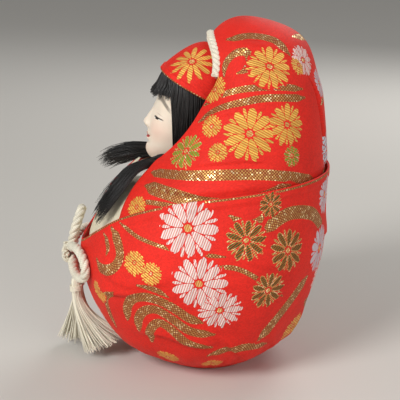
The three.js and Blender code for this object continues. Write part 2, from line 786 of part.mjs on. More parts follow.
function knotHeart() {
  const half = new THREE.Vector3(HEART_RADIUS, HEART_HALF, HEART_RADIUS);
  const inFront = throughSide([
    [heartBack - WIDE, 0],
    [heartBack, 0],
    [heartBack, WIDE],
    [heartBack - WIDE, WIDE],
  ]);
  return ball(half, knotPoint(0, 0).setY(heartBack)).intersect(inFront);
}

// A round pin behind the heart of the knot, square to the robe in front
function knotPin(radius, front, back) {
  const geometry = new THREE.CylinderGeometry(radius, radius, back - front, PIN_SIDES);
  return solidOf(geometry.translate(0, (front + back) / 2, knotPoint(0, 0).z));
}

const stitchFront = heartBack + CLEARANCE;
const stitchBack = body.over(0, bellyHeight, chestOutside + CLEARANCE).y;

function knotStitch() {
  return knotPin(STITCH_RADIUS, stitchFront, stitchBack);
}

// The middle of the ball at the head of a tassel, which is also its hinge
function tasselPivot(side) {
  const end = knotPoint(side * TAIL_SPREAD, -KNOT_TAIL);
  return end.setZ(end.z - CLEARANCE - TASSEL_NECK);
}

// A ball at the hinge, a straight neck and a fluted fan whose threads all have one length
function tassel({ side, aside, back, wide, deep }) {
  const pivot = tasselPivot(side);
  const length = pivot.z - TASSEL_FLOOR;
  const sides = 2 * TASSEL_FLUTES;
  const loops = BALL_RINGS.map((degrees) => {
    const a = THREE.MathUtils.degToRad(degrees);
    const radius = TASSEL_NECK * Math.cos(a);
    return turns(sides, (turn) => {
      const step = new THREE.Vector3(Math.cos(turn), -Math.sin(turn), Math.tan(a));
      return pivot.clone().addScaledVector(step, radius);
    });
  });
  for (let i = 1; i <= TASSEL_RINGS; i++) {
    const along = i / TASSEL_RINGS;
    const flare = Math.max(0, (along - TASSEL_STRAIGHT) / (1 - TASSEL_STRAIGHT)) ** TASSEL_CURVE;
    const halfWide = THREE.MathUtils.lerp(TASSEL_NECK, wide, flare);
    const halfDeep = THREE.MathUtils.lerp(TASSEL_NECK, deep, flare);
    loops.push(
      turns(sides, (turn) => {
        const flute = 1 - flare * TASSEL_FLUTE * (1 - Math.cos(TASSEL_FLUTES * turn));
        const x = side * aside * flare + flute * halfWide * Math.cos(turn);
        const y = back * flare - flute * halfDeep * Math.sin(turn);
        const fall = Math.sqrt((length * along) ** 2 - x * x - y * y);
        return pivot.clone().add(new THREE.Vector3(x, y, -fall));
      }),
    );
  }
  return loft(loops);
}

function bindingRoute(side) {
  const pivot = tasselPivot(side);
  const radius = TASSEL_NECK + CLEARANCE + BINDING_THREAD / 2;
  const pitch = BINDING_THREAD + BINDING_GAP;
  const { steps } = BINDING_GRID;
  return Array.from({ length: BINDING_TURNS * steps + 1 }, (_, i) => {
    const angle = (i * FULL_TURN) / steps;
    const z = -CLEARANCE - BINDING_THREAD / 2 - (pitch * i) / steps;
    return new THREE.Vector3(radius * Math.cos(angle), radius * Math.sin(angle), z).add(pivot);
  });
}

function binding(side) {
  const { steps, sides } = BINDING_GRID;
  return tube(bindingRoute(side), BINDING_THREAD, { steps: BINDING_TURNS * steps, sides });
}

const knotGap = leastGap(knotRoute(), KNOT_CORD, 3 * KNOT_CORD);
const bindingGap = leastGap(bindingRoute(1), BINDING_THREAD, 3 * BINDING_THREAD);
console.log(`knot_cord: least gap to itself ${knotGap.toFixed(2)} mm`);
console.log(`tassel_binding: least gap to itself ${bindingGap.toFixed(2)} mm`);

// The assembly

const RED_BROCADE = { color: 0xc8281e, roughness: 0.6, metalness: 0.1 };
const CREAM_SILK = { color: 0xe6ddc0, roughness: 0.55, metalness: 0 };
const CREAM_CORD = { color: 0xeee8d2, roughness: 0.6, metalness: 0 };
const RED_SILK = { color: 0xc4262a, roughness: 0.55, metalness: 0 };
const SHELL_WHITE = { color: 0xf1e2cf, roughness: 0.4, metalness: 0 };
const BLACK_HAIR = { color: 0x17130f, roughness: 0.45, metalness: 0 };
const COTTON = { color: 0xeeeae0, roughness: 0.95, metalness: 0 };
const PAPER = { color: 0xb79f7c, roughness: 0.9, metalness: 0 };
const CLAY = { color: 0x8a6a4c, roughness: 0.9, metalness: 0 };
const BAMBOO = { color: 0xc9a76a, roughness: 0.6, metalness: 0 };

const doll = new THREE.Group();

function place(name, solid, finish) {
  const mesh = new THREE.Mesh(geometryOf(solid), new THREE.MeshStandardMaterial(finish));
  mesh.name = name;
  doll.add(mesh);
}

place("base_cover", baseCover(), RED_SILK);
place("base_card", baseCard(), PAPER);
place("gathering_thread", gatheringThread(), CREAM_CORD);
place("base_weight", baseWeight(), CLAY);
place("stuffing", stuffing(), COTTON);
place("body_core", bodyCore(), PAPER);
place("body_wadding", bodyWadding(), COTTON);
place("hood_wadding", hoodWadding(), COTTON);
place("neck_peg", neckPeg(), BAMBOO);
place("head", head(), SHELL_WHITE);
place("hair", hair(), BLACK_HAIR);
place("hair_lock_left", hairLockLeft(), BLACK_HAIR);
place("hair_lock_right", hairLockRight(), BLACK_HAIR);
place("cap", cap(), RED_BROCADE);
place("head_cord", headCord(), CREAM_CORD);
place("hood", hood(), RED_BROCADE);
place("robe", robe(), RED_BROCADE);
place("chest_cloth", chestCloth(), CREAM_SILK);
place("collar_left", onChest(collarOutline, COLLAR_LIFT), CREAM_SILK);
place("piping_left", onChest(pipingOutline, PIPING_LIFT), RED_SILK);
place("collar_right", besideNeck(underLeftCollar(onChest(mirrored(collarOutline), COLLAR_LIFT))), CREAM_SILK);
place("piping_right", besideNeck(underLeftCollar(onChest(mirrored(pipingOutline), PIPING_LIFT))), RED_SILK);
place("knot_cord", knotCord(), CREAM_CORD);
place("knot_heart", knotHeart(), CREAM_CORD);
place("knot_stitch", knotStitch(), RED_SILK);
for (const [name, form] of Object.entries(TASSELS)) {
  place(`tassel_${name}`, tassel(form), CREAM_CORD);
  place(`tassel_binding_${name}`, binding(form.side), CREAM_CORD);
}

export default doll;
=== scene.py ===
"""A hime daruma: a seated princess doll in red brocade, dressed over its solid model.

Lengths are written in millimetres and turned into metres where a mesh is made. +Z is up, the doll
faces -Y, its left side is +X and the origin is the middle of the flat base.
"""

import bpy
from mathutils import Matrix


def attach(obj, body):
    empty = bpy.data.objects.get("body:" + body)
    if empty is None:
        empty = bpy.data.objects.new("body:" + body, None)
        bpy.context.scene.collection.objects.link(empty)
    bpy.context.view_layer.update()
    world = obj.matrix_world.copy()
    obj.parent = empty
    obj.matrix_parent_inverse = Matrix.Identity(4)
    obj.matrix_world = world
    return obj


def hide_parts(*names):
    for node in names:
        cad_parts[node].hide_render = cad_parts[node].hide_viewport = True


bl_info = {
    "name": "Hime Daruma Doll",
    "version": (1, 0, 0),
    "blender": (4, 5, 0),
    "location": "View3D > Sidebar > Doll",
    "description": "Dresses the doll's solid model in brocade, silk, hair, cords and tassels",
    "category": "Object",
}

import math

import bpy
import numpy as np
from bpy.props import FloatProperty, FloatVectorProperty, IntProperty, PointerProperty
from mathutils import Vector

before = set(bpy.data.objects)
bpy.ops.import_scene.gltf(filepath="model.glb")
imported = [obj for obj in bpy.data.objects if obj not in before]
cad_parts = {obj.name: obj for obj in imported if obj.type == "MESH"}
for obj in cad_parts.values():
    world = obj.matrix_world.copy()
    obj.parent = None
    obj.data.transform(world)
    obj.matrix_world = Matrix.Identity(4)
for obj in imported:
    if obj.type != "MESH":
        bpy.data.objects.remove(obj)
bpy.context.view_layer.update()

MM = 0.001
TAU = 2 * math.pi
NUDGE = 1e-3
SPLINE_STEPS = 12

# Sections of the wrapped body: height, line of greatest width, reach in front, behind and aside
BODY_SECTIONS = [
    (0, 0, 20, 20, 20),
    (16, 0, 43, 37, 41),
    (46, 0, 54, 49, 53),
    (74, 4, 48, 46.5, 51),
    (96, 10, 32, 40.5, 45),
    (122, 17, 21, 30, 34),
    (140.5, 18, 17, 20.5, 20),
]
BODY_TOP = (148, 15.5)

# Sections of the head, from the underside of the chin to the temples
HEAD_LEAN = -6
HEAD_SECTIONS = [
    (86, HEAD_LEAN, 14, 7, 6.5),
    (88.5, HEAD_LEAN, 18, 8.5, 8),
    (92, HEAD_LEAN, 19, 12, 11),
    (97.5, HEAD_LEAN, 18.8, 15, 13.3),
    (105, HEAD_LEAN, 17.8, 17, 15),
    (111, HEAD_LEAN, 15.9, 18, 15.6),
    (118, HEAD_LEAN, 12.8, 18, 15.6),
    (125, HEAD_LEAN, 8.2, 16.5, 13.5),
]
HEAD_TOP = (132.5, -1)

# Layers of the body, as offsets from its skin
CLOTH = 0.9
HOOD_OUTSIDE = -1.3
CHEST_OUTSIDE = -2.6
COLLAR_UNDERSIDE = -2.3

# Layers of the head, as offsets from its skin
HAIR_MIDDLE = 1.5
CAP_OUTSIDE = 4.0
CAP_RIM_LIFT = 0.5
CAP_RIM = 2.4
CAP_RIM_AT = (-17.5, 125)
CAP_RIM_SLOPE = 0.57

# Robe and hood
BELT_HEIGHT = 52
SEAM_CLIMB = 34
SEAM_RUN = 26
SEAM_FRONT = -54
SEAM_FOLD = 3.2
SEAM_LIFT = 0.6
HOOD_HEM = 8
HEM_RADIUS = 16.2
GATHERS = 9
GATHER_LIFT = 0.8
ARCH_HALF = 24.1
ARCH_CENTRE = 118
ARCH_TOP = 141.5
RIM_LINE = [(43, 35.5), (52, 35.5), (74, 30), (88.5, 23), (94.5, 25.5), (105, 27), (118, 24.1)]
STRIP_LOW = 13
STRIP_HIGH = 21
STRIP_FROM = 86
STRIP_TO = 140.5
LINING_BACK = 6.9

# Knot, cords and tassels
BELLY_HEIGHT = 46
CLEARANCE = 0.3
KNOT_CORD = 4.0
KNOT_LIFT = KNOT_CORD / 2 + CLEARANCE
KNOT_STAND = 2.0
KNOT_WAIST = 3.2527
SIDE_LOOP = 24
TOP_LOOP = 17.5
LOOP_SPREAD = 0.04
LEAVES = 4
LEAF_STEPS = 12
TAIL_SPREAD = 3.1
KNOT_TAIL = 9
HEART_RADIUS = 4.6
HEAD_CORD = 4.2
HEAD_CORD_TURN = 70
TASSEL_NECK = 2.0
TASSEL_STRAIGHT = 0.2
TASSEL_CURVE = 1.4
TASSEL_FLOOR = 1.5
TASSELS = {
    "left": {"side": 1, "aside": 5, "back": 12, "wide": 6.4, "deep": 8.6},
    "right": {"side": -1, "aside": 4, "back": 0, "wide": 5.8, "deep": 9.6},
}

# Camera and picture
PICTURE = 400
FOCAL_PIXELS = 1051
SENSOR = 36


# Number helpers

def linear(red, green, blue):
    """A colour of the screen, 0 to 255, as linear light."""
    return tuple(
        value / 255 / 12.92 if value <= 10 else ((value / 255 + 0.055) / 1.055) ** 2.4
        for value in (red, green, blue)
    )


def smooth(low, high, value):
    """0 below low, 1 above high and a soft step between them."""
    share = np.clip((np.asarray(value, float) - low) / (high - low), 0, 1)
    return share * share * (3 - 2 * share)


def plateau(value, rise, fall):
    """1 between a rise and a fall, each of which is a soft step from one value to another."""
    return smooth(*rise, value) * (1 - smooth(*fall, value))


def unit(vectors):
    length = np.linalg.norm(vectors, axis=-1, keepdims=True)
    return vectors / np.maximum(length, 1e-12)


def between(a, b, c, d, share):
    """A smooth curve from b to c, with a before them and d after them."""
    square, cube = share**2, share**3
    rest = (2 * cube - 3 * square + 1) * b + (3 * square - 2 * cube) * c
    return rest + (cube - 2 * square + share) * (c - a) / 2 + (cube - square) * (d - b) / 2


def run_along(line):
    """Length along a line at each of its points."""
    return np.concatenate([[0], np.cumsum(np.linalg.norm(np.diff(line, axis=0), axis=1))])


def spline(points, count):
    """Points along a smooth curve through the given ones, evenly spaced along it."""
    points = np.asarray(points, float)
    padded = np.vstack([2 * points[0] - points[1], points, 2 * points[-1] - points[-2]])
    t = np.linspace(0, len(points) - 1, SPLINE_STEPS * len(points))
    i = np.minimum(t.astype(int), len(points) - 2)
    fine = between(*(padded[i + k] for k in range(4)), (t - i)[:, None])
    run = run_along(fine)
    even = np.linspace(0, run[-1], count)
    return np.stack([np.interp(even, run, fine[:, k]) for k in range(points.shape[1])], axis=1)


def frames_along(line, up):
    """Side and outward vectors along a line whose outward side is near up."""
    tangent = unit(np.gradient(line, axis=0))
    side = unit(np.cross(up, tangent))
    return side, np.cross(tangent, side)


def ring(turn, radius, height, middle=0.0):
    """A level circle about a middle in y, which starts in front and goes round by the left side."""
    return np.stack([radius * np.sin(turn), middle - radius * np.cos(turn), np.full(turn.shape, height)], 1)


class Skin:
    """A rounded skin through level sections, closed over at the top."""

    def __init__(self, sections, top):
        rows = [(z, lean - front, lean, lean + back, half) for z, lean, front, back, half in sections]
        rows.append((top[0], top[1], top[1], top[1], 0))
        below = 2 * np.array(rows[0]) - np.array(rows[1])
        z, front, lean, back, half = rows[-2]
        self.controls = np.array([below, *rows, (z, back, lean, front, -half)], float)
        self.last = len(sections)

    def section(self, t):
        t = np.asarray(t, float)
        i = np.minimum(np.floor(t).astype(int), self.last - 1)
        return between(*(self.controls[i + k] for k in range(4)), (t - i)[..., None])

    def point(self, turn, t):
        """The turn starts in front and goes round by the left side."""
        z, front, lean, back, half = np.moveaxis(self.section(t), -1, 0)
        forward = np.cos(turn)
        reach = np.where(forward > 0, lean - front, back - lean)
        return np.stack(np.broadcast_arrays(half * np.sin(turn), lean - forward * reach, z), -1)

    def normal(self, turn, t):
        high = np.minimum(np.asarray(t, float) + NUDGE, self.last - NUDGE)
        low = np.maximum(high - 2 * NUDGE, 0)
        round_it = self.point(turn + NUDGE, low) - self.point(turn - NUDGE, low)
        return unit(np.cross(round_it, self.point(turn, high) - self.point(turn, low)))

    def outward(self, turn, t):
        """Normals that also hold at the top, where all turns meet."""
        normal = self.normal(turn, t)
        normal[t > self.last - NUDGE] = (0, 0, 1)
        return normal

    def raised(self, turn, t, lift):
        lift = np.asarray(lift, float)
        return self.point(turn, t) + self.normal(turn, t) * lift[..., None]

    def level(self, height):
        height = np.asarray(height, float)
        return crossing(lambda t: self.section(t)[..., 0] - height, np.zeros(height.shape), self.last)

    def over(self, x, height, lift):
        """The place in front of the skin at x and a height, lifted off it."""
        t = self.level(height)
        turn = np.arcsin(np.clip(x / self.section(t)[..., 4], -1, 1))
        return self.raised(turn, t, np.broadcast_to(lift, np.shape(turn)))

    def beside(self, side, y, height):
        """Turn and level of a place seen from the left, side 1, or from the right, side -1."""
        t = self.level(height)
        _, front, lean, back, _ = np.moveaxis(self.section(t), -1, 0)
        reach = np.where(y < lean, lean - front, back - lean)
        return side * np.arccos(np.clip((lean - y) / reach, -1, 1)), t

    def behind(self, x, height):
        t = self.level(height)
        return math.pi - np.arcsin(np.clip(x / self.section(t)[..., 4], -1, 1)), t


def crossing(rises, low, high, steps=34):
    """Where a rising function passes zero, between two bounds."""
    low = np.array(low, float)
    high = np.broadcast_to(np.asarray(high, float), low.shape).copy()
    for _ in range(steps):
        middle = (low + high) / 2
        under = rises(middle) < 0
        low = np.where(under, middle, low)
        high = np.where(under, high, middle)
    return (low + high) / 2


body = Skin(BODY_SECTIONS, BODY_TOP)
skull = Skin(HEAD_SECTIONS, HEAD_TOP)


def seam_height(y):
    """Height of the robe's folded upper edge."""
    return BELT_HEIGHT + SEAM_CLIMB * (1 - np.exp(-(y - SEAM_FRONT) / SEAM_RUN))


def rim_half(height):
    """Half width of the hood's face opening at a height."""
    share = np.clip((height - ARCH_CENTRE) / (ARCH_TOP - ARCH_CENTRE), 0, 1)
    arch = ARCH_HALF * np.sqrt(1 - share * share)
    line = spline(RIM_LINE, 80)
    return np.where(height > ARCH_CENTRE, arch, np.interp(height, line[:, 0], line[:, 1]))


def strip_half(height):
    """Half width of the strip between the two pleats behind."""
    return np.interp(height, [STRIP_FROM, STRIP_TO], [STRIP_LOW, STRIP_HIGH])


def knot_point(u, v):
    stand = KNOT_STAND * (1 - smooth(HEART_RADIUS, SIDE_LOOP, np.abs(u)))
    return body.over(np.asarray(u, float), BELLY_HEIGHT + np.asarray(v, float), KNOT_LIFT + stand)


def tassel_pivot(side):
    """The middle of the ball at the head of a tassel, which is also its hinge."""
    return knot_point(side * TAIL_SPREAD, -KNOT_TAIL) - [0, 0, TASSEL_NECK + CLEARANCE]


# Shader maths

class Value:
    """A socket of a material, with the operators that build Math nodes."""

    def __init__(self, finish, socket):
        self.finish = finish
        self.socket = socket

    def maths(self, operation, *values):
        inputs = dict(enumerate(values))
        made = self.finish.node("ShaderNodeMath", {"operation": operation}, inputs)
        return Value(self.finish, made.outputs[0])

    def __add__(self, other):
        return self.maths("ADD", self, other)

    def __sub__(self, other):
        return self.maths("SUBTRACT", self, other)

    def __rsub__(self, other):
        return self.maths("SUBTRACT", other, self)

    def __mul__(self, other):
        return self.maths("MULTIPLY", self, other)

    def __truediv__(self, other):
        return self.maths("DIVIDE", self, other)

    __radd__ = __add__
    __rmul__ = __mul__

    def less(self, limit):
        return self.maths("LESS_THAN", self, limit)

    def more(self, limit):
        return self.maths("GREATER_THAN", self, limit)

    def least(self, other):
        return self.maths("MINIMUM", self, other)

    def most(self, other):
        return self.maths("MAXIMUM", self, other)

    def size(self):
        return self.maths("ABSOLUTE", self)

    def root(self):
        return self.maths("SQRT", self.most(0))

    def sine(self):
        return self.maths("SINE", self)

    def cosine(self):
        return self.maths("COSINE", self)

    def floor(self):
        return self.maths("FLOOR", self)

    def part(self):
        return self.maths("FRACT", self)

    def angle(self, across):
        return self.maths("ARCTAN2", self, across)

    def ramp(self, low, high):
        """A soft step from 0 at low to 1 at high."""
        inputs = {"Value": self, "From Min": low, "From Max": high}
        made = self.finish.node("ShaderNodeMapRange", {"interpolation_type": "SMOOTHSTEP"}, inputs)
        return Value(self.finish, made.outputs[0])

    def spot(self, middle, half):
        """1 at a middle value, fading to 0 at half a width from it."""
        return 1 - ((self - middle) / half).size().ramp(0, 1)


class Finish:
    """One procedural material while it is being made."""

    def __init__(self, name):
        self.material = bpy.data.materials.new(name)
        self.material.use_nodes = True
        self.tree = self.material.node_tree
        self.tree.nodes.clear()

    def node(self, kind, settings, inputs):
        made = self.tree.nodes.new(kind)
        for key, value in settings.items():
            setattr(made, key, value)
        for key, value in inputs.items():
            if isinstance(value, Value):
                self.tree.links.new(value.socket, made.inputs[key])
            else:
                made.inputs[key].default_value = value
        return made

    def out(self, made, key=0):
        return Value(self, made.outputs[key])

    def place(self):
        """Object coordinates, in metres."""
        return self.out(self.node("ShaderNodeTexCoord", {}, {}), "Object")

    def chart(self, name):
        """The two values of a UV map."""
        return self.split(self.out(self.node("ShaderNodeUVMap", {"uv_map": name}, {})))[:2]

    def attribute(self, name, key="Fac"):
        return self.out(self.node("ShaderNodeAttribute", {"attribute_name": name}, {}), key)

    def split(self, vector):
        made = self.node("ShaderNodeSeparateXYZ", {}, {0: vector})
        return [self.out(made, key) for key in range(3)]

    def join(self, x, y, z=0.0):
        return self.out(self.node("ShaderNodeCombineXYZ", {}, {0: x, 1: y, 2: z}))

    def stretch(self, vector, scale):
        made = self.node("ShaderNodeVectorMath", {"operation": "MULTIPLY"}, {0: vector, 1: scale})
        return self.out(made)

    def noise(self, vector, scale, detail=2.0):
        inputs = {"Vector": vector, "Scale": scale, "Detail": detail}
        return self.out(self.node("ShaderNodeTexNoise", {}, inputs), 0)

    def chance(self, vector):
        """A random value for each whole-number place."""
        return self.out(self.node("ShaderNodeTexWhiteNoise", {"noise_dimensions": "2D"}, {0: vector}), 0)

    def mix(self, share, low, high):
        low, high = ((*colour, 1.0) if isinstance(colour, tuple) else colour for colour in (low, high))
        made = self.node("ShaderNodeMix", {"data_type": "RGBA"}, {0: share, 6: low, 7: high})
        return self.out(made, 2)

    def tone(self, colour, factor):
        """A colour made lighter or darker by a value."""
        made = self.node("ShaderNodeVectorMath", {"operation": "SCALE"}, {0: colour, "Scale": factor})
        return self.out(made)

    def bump(self, height, depth):
        inputs = {"Height": height, "Distance": depth * MM, "Strength": 1.0}
        return self.out(self.node("ShaderNodeBump", {}, inputs))

    def surface(self, inputs):
        for key in ("Base Color", "Sheen Tint", "Specular Tint"):
            if isinstance(inputs.get(key), tuple):
                inputs[key] = (*inputs[key], 1.0)
        shader = self.node("ShaderNodeBsdfPrincipled", {}, inputs)
        self.node("ShaderNodeOutputMaterial", {}, {0: self.out(shader)})
        return self.material


# Mesh helpers

def grid(rows, columns, closed=False):
    """Faces of a grid whose rows climb while its columns go round by the left."""
    across = columns if closed else columns - 1
    r, c = np.meshgrid(np.arange(rows - 1), np.arange(across), indexing="ij")
    after = (c + 1) % columns
    corners = [r * columns + c, r * columns + after, (r + 1) * columns + after, (r + 1) * columns + c]
    return np.stack(corners, -1).reshape(-1, 4)


def welded(points, faces):
    """Points that meet become one and faces without area go. Also gives each kept corner's first index."""
    _, first, same = np.unique(np.round(points, 4), axis=0, return_index=True, return_inverse=True)
    same = same.ravel()
    kept, source = [], []
    for face in faces:
        corners = [v for k, v in enumerate(face) if same[v] != same[face[k - 1]]]
        if len({int(same[v]) for v in corners}) >= 3:
            kept.append([int(same[v]) for v in corners])
            source.extend(corners)
    used = np.unique(np.concatenate(kept))
    place = dict(zip(used.tolist(), range(len(used))))
    return points[first[used]], [[place[v] for v in face] for face in kept], np.array(source)


def piece(name, points, faces, finish, maps=None, tints=None):
    """A mesh object, with UV maps and a colour for each corner of its faces."""
    mesh = bpy.data.meshes.new(name)
    mesh.from_pydata((np.asarray(points) * MM).tolist(), [], [list(map(int, face)) for face in faces])
    mesh.materials.append(finish)
    for key, values in (maps or {}).items():
        layer = mesh.uv_layers.new(name=key)
        layer.data.foreach_set("uv", np.asarray(values, np.float32).ravel())
    if tints is not None:
        layer = mesh.color_attributes.new("tint", "FLOAT_COLOR", "CORNER")
        layer.data.foreach_set("color", np.asarray(tints, np.float32).ravel())
    mesh.shade_smooth()
    made = bpy.data.objects.new(name, mesh)
    bpy.context.scene.collection.objects.link(made)
    return made


def corners_of(faces):
    """The vertex of every face corner, and the face that it belongs to."""
    sizes = [len(face) for face in faces]
    return np.concatenate([np.asarray(face, int) for face in faces]), np.repeat(np.arange(len(faces)), sizes)


def thicken(made, thickness):
    """Gives a cloth its thickness, inwards."""
    solid = made.modifiers.new("Thickness", "SOLIDIFY")
    solid.thickness = thickness * MM
    solid.offset = -1
    solid.use_even_offset = False


def settle(made, body_name, slot, *nodes):
    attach(made, body_name)
    if nodes:
        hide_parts(*nodes)


def joined(name, parts):
    """One object from several."""
    with bpy.context.temp_override(active_object=parts[0], selected_editable_objects=parts):
        bpy.ops.object.join()
    parts[0].name = name
    return parts[0]


# Threads that follow lines

def thread_tree():
    """A node tree that sweeps a round section along every line of a mesh."""
    tree = bpy.data.node_groups.new("Threads", "GeometryNodeTree")
    face = tree.interface
    face.new_socket("Lines", in_out="INPUT", socket_type="NodeSocketGeometry")
    face.new_socket("Radius", in_out="INPUT", socket_type="NodeSocketFloat")
    face.new_socket("Sides", in_out="INPUT", socket_type="NodeSocketInt")
    face.new_socket("Finish", in_out="INPUT", socket_type="NodeSocketMaterial")
    face.new_socket("Threads", in_out="OUTPUT", socket_type="NodeSocketGeometry")

    def add(kind, settings, inputs):
        made = tree.nodes.new(kind)
        for key, value in settings.items():
            setattr(made, key, value)
        for key, value in inputs.items():
            if isinstance(value, bpy.types.NodeSocket):
                tree.links.new(value, made.inputs[key])
            else:
                made.inputs[key].default_value = value
        return made.outputs

    given = add("NodeGroupInput", {}, {})
    taper = add("GeometryNodeInputNamedAttribute", {"data_type": "FLOAT"}, {"Name": "taper"})
    radius = add("ShaderNodeMath", {"operation": "MULTIPLY"}, {0: taper[0], 1: given["Radius"]})
    lines = add("GeometryNodeMeshToCurve", {}, {"Mesh": given["Lines"]})
    section = add("GeometryNodeCurvePrimitiveCircle", {}, {"Resolution": given["Sides"], "Radius": 1.0})
    swept_inputs = {"Curve": lines[0], "Profile Curve": section[0], "Scale": radius[0], "Fill Caps": True}
    swept = add("GeometryNodeCurveToMesh", {}, swept_inputs)
    softened = add("GeometryNodeSetShadeSmooth", {}, {"Geometry": swept[0]})
    real = add("GeometryNodeRealizeInstances", {}, {"Geometry": softened[0]})
    finished = add("GeometryNodeSetMaterial", {}, {"Geometry": real[0], "Material": given["Finish"]})
    add("NodeGroupOutput", {}, {"Threads": finished[0]})
    return tree


def threads(name, lines, radius, sides, finish, tapers=None, shades=None):
    """Threads swept along lines of points by the thread tree, as one plain mesh."""
    points = np.concatenate(lines)
    ends = np.cumsum([len(line) for line in lines])
    starts = ends - [len(line) for line in lines]
    edges = np.concatenate([np.stack([np.arange(a, b - 1), np.arange(a + 1, b)], 1)
                            for a, b in zip(starts, ends)])
    mesh = bpy.data.meshes.new(name)
    mesh.from_pydata((points * MM).tolist(), edges.tolist(), [])
    shades = np.zeros(len(lines)) if shades is None else shades
    values = {
        "taper": np.ones(len(points)) if tapers is None else np.concatenate(tapers),
        "along": np.concatenate([run_along(line) for line in lines]),
        "shade": np.repeat(shades, ends - starts),
    }
    for key, value in values.items():
        mesh.attributes.new(key, "FLOAT", "POINT").data.foreach_set("value", value.astype(np.float32))
    made = bpy.data.objects.new(name, mesh)
    bpy.context.scene.collection.objects.link(made)
    tree = bpy.data.node_groups.get("Threads") or thread_tree()
    sweep = made.modifiers.new("Threads", "NODES")
    sweep.node_group = tree
    for key, value in {"Radius": radius * MM, "Sides": sides, "Finish": finish}.items():
        sweep[tree.interface.items_tree[key].identifier] = value
    return plain(made)


def plain(made):
    """Turns an object's evaluated shape into its own mesh, without modifiers."""
    bpy.context.view_layer.update()
    evaluated = made.evaluated_get(bpy.context.evaluated_depsgraph_get())
    mesh = bpy.data.meshes.new_from_object(evaluated)
    made.modifiers.clear()
    made.data = mesh
    return made


# Brocade: flowers and bands of flowing water, each at a place seen from the left, the right or behind

THREAD_PITCH = 0.9
THREAD_EDGE = (0.08, 0.5)
STAGGER = 0.15
LATTICE = 1.3
DOT_HALF = 0.35
TWILL = 0.62
RIB = 0.52
FLECK = 0.5
GOLD = linear(212, 174, 98)
# Whitish gold painted on the brightest gold dots as painted glints
GLINT_GOLD = linear(255, 238, 178)
BROWN = linear(104, 40, 20)

# Petals, as start, length and half width in shares of a flower's radius, and the middle of a flower
PETAL = (0.19, 0.81, 0.165)
SEPAL = (0.62, 0.36, 0.062)
USUAL_PETALS = 9
FLOWER_EYE = 0.13
GOLD_EYE = 0.14
FLOWER_CLEAR = 1.04
FLOWER_REACH = 4

# Bands: how they taper and end, and how far beside them their map reaches
BAND_TAPER = 5
BAND_TAPER_SHARE = 0.35
BAND_TIP = 0.3
BAND_PAST = 0.4
BAND_REACH = 30

FLOWER_THREADS = {
    "gold": {"colour": linear(240, 198, 92), "gilt": 1.0, "lean": -28},
    "white": {"colour": linear(240, 222, 214), "gilt": 0.0, "lean": 72},
    "pale": {"colour": linear(206, 220, 228), "gilt": 0.0, "lean": 72},
    "green": {"colour": linear(58, 92, 30), "gilt": 0.5, "lean": 35},
    "leaf": {"colour": linear(122, 168, 54), "gilt": 0.5, "lean": -28},
}

HOOD_FLOWERS = [
    ("left", 24.2, 130.4, 8.8, "gold"),
    ("left", 16.1, 106.3, 10.2, "gold"),
    ("left", 31.4, 108.6, 8.2, "gold"),
    ("left", -8.9, 98.1, 7.6, "leaf"),
    ("left", 2.0, 121.0, 6.0, "gold"),
    ("left", 1.0, 108.4, 4.6, "gold"),
    ("left", 3.6, 99.4, 4.0, "gold"),
    ("left", 33.5, 96.5, 4.2, "leaf"),
    ("left", 36.5, 130.0, 4.0, "gold"),
    ("left", -28.7, 76.1, 4.8, "gold"),
    ("right", 20.5, 128.0, 10.0, "gold"),
    ("right", 6.0, 107.0, 10.5, "gold"),
    ("right", 26.5, 106.0, 9.5, "leaf"),
    ("right", -14.0, 95.5, 7.0, "white"),
    ("right", 38.0, 97.0, 7.0, "gold"),
    ("right", -27.5, 77.5, 5.0, "gold"),
    ("back", 17.5, 131.5, 6.5, "white"),
    ("back", 10.0, 121.0, 6.0, "pale"),
    ("back", -9.0, 127.0, 8.0, "gold"),
    ("back", -2.0, 109.0, 8.5, "white"),
    ("back", 9.5, 93.0, 7.5, "pale"),
    ("back", -10.0, 96.0, 6.0, "gold"),
]
ROBE_FLOWERS = [
    ("left", -7.6, 71.3, 11.4, "white"),
    ("left", -3.4, 50.1, 10.6, "white"),
    ("left", 4.6, 38.4, 8.7, "white"),
    ("left", 14.6, 66.6, 8.2, "green"),
    ("left", 31.1, 60.0, 8.8, "green"),
    ("left", 23.6, 44.8, 7.8, "green"),
    ("left", 24.0, 79.5, 5.0, "green"),
    ("left", -28.4, 55.7, 5.0, "gold"),
    ("left", -21.6, 52.7, 4.6, "gold"),
    ("left", -44.1, 38.0, 5.0, "gold"),
    ("left", -16.0, 12.0, 5.0, "gold"),
    ("left", 2.0, 9.0, 4.6, "gold"),
    ("left", -45.5, 22.0, 6.5, "white"),
    ("right", -46.5, 18.5, 6.5, "gold"),
    ("left", -38.0, 10.0, 5.0, "gold"),
    ("right", 2.0, 68.5, 12.0, "white"),
    ("right", -16.0, 55.0, 10.5, "white"),
    ("right", 20.0, 52.0, 10.0, "green"),
    ("right", 33.0, 66.0, 8.5, "green"),
    ("right", 4.0, 39.0, 9.0, "gold"),
    ("right", -34.0, 41.0, 8.0, "white"),
    ("right", -14.0, 25.0, 7.0, "gold"),
    ("right", 24.0, 27.0, 8.0, "gold"),
    ("back", 17.0, 76.0, 8.0, "pale"),
    ("back", 21.0, 54.0, 10.0, "pale"),
    ("back", 11.0, 40.0, 9.0, "white"),
    ("back", -8.0, 64.0, 11.0, "gold"),
    ("back", -21.0, 44.0, 9.5, "white"),
    ("back", -14.0, 22.0, 8.0, "gold"),
    ("back", 18.0, 19.0, 7.0, "gold"),
]
CAP_FLOWERS = [
    (1, -5.8, 129.9, 9.2, "gold"),
    (-1, -9.5, 128.4, 8.6, "gold"),
    (-1, 5.0, 126.5, 8.0, "gold"),
    (1, 9.0, 123.5, 8.0, "gold"),
]
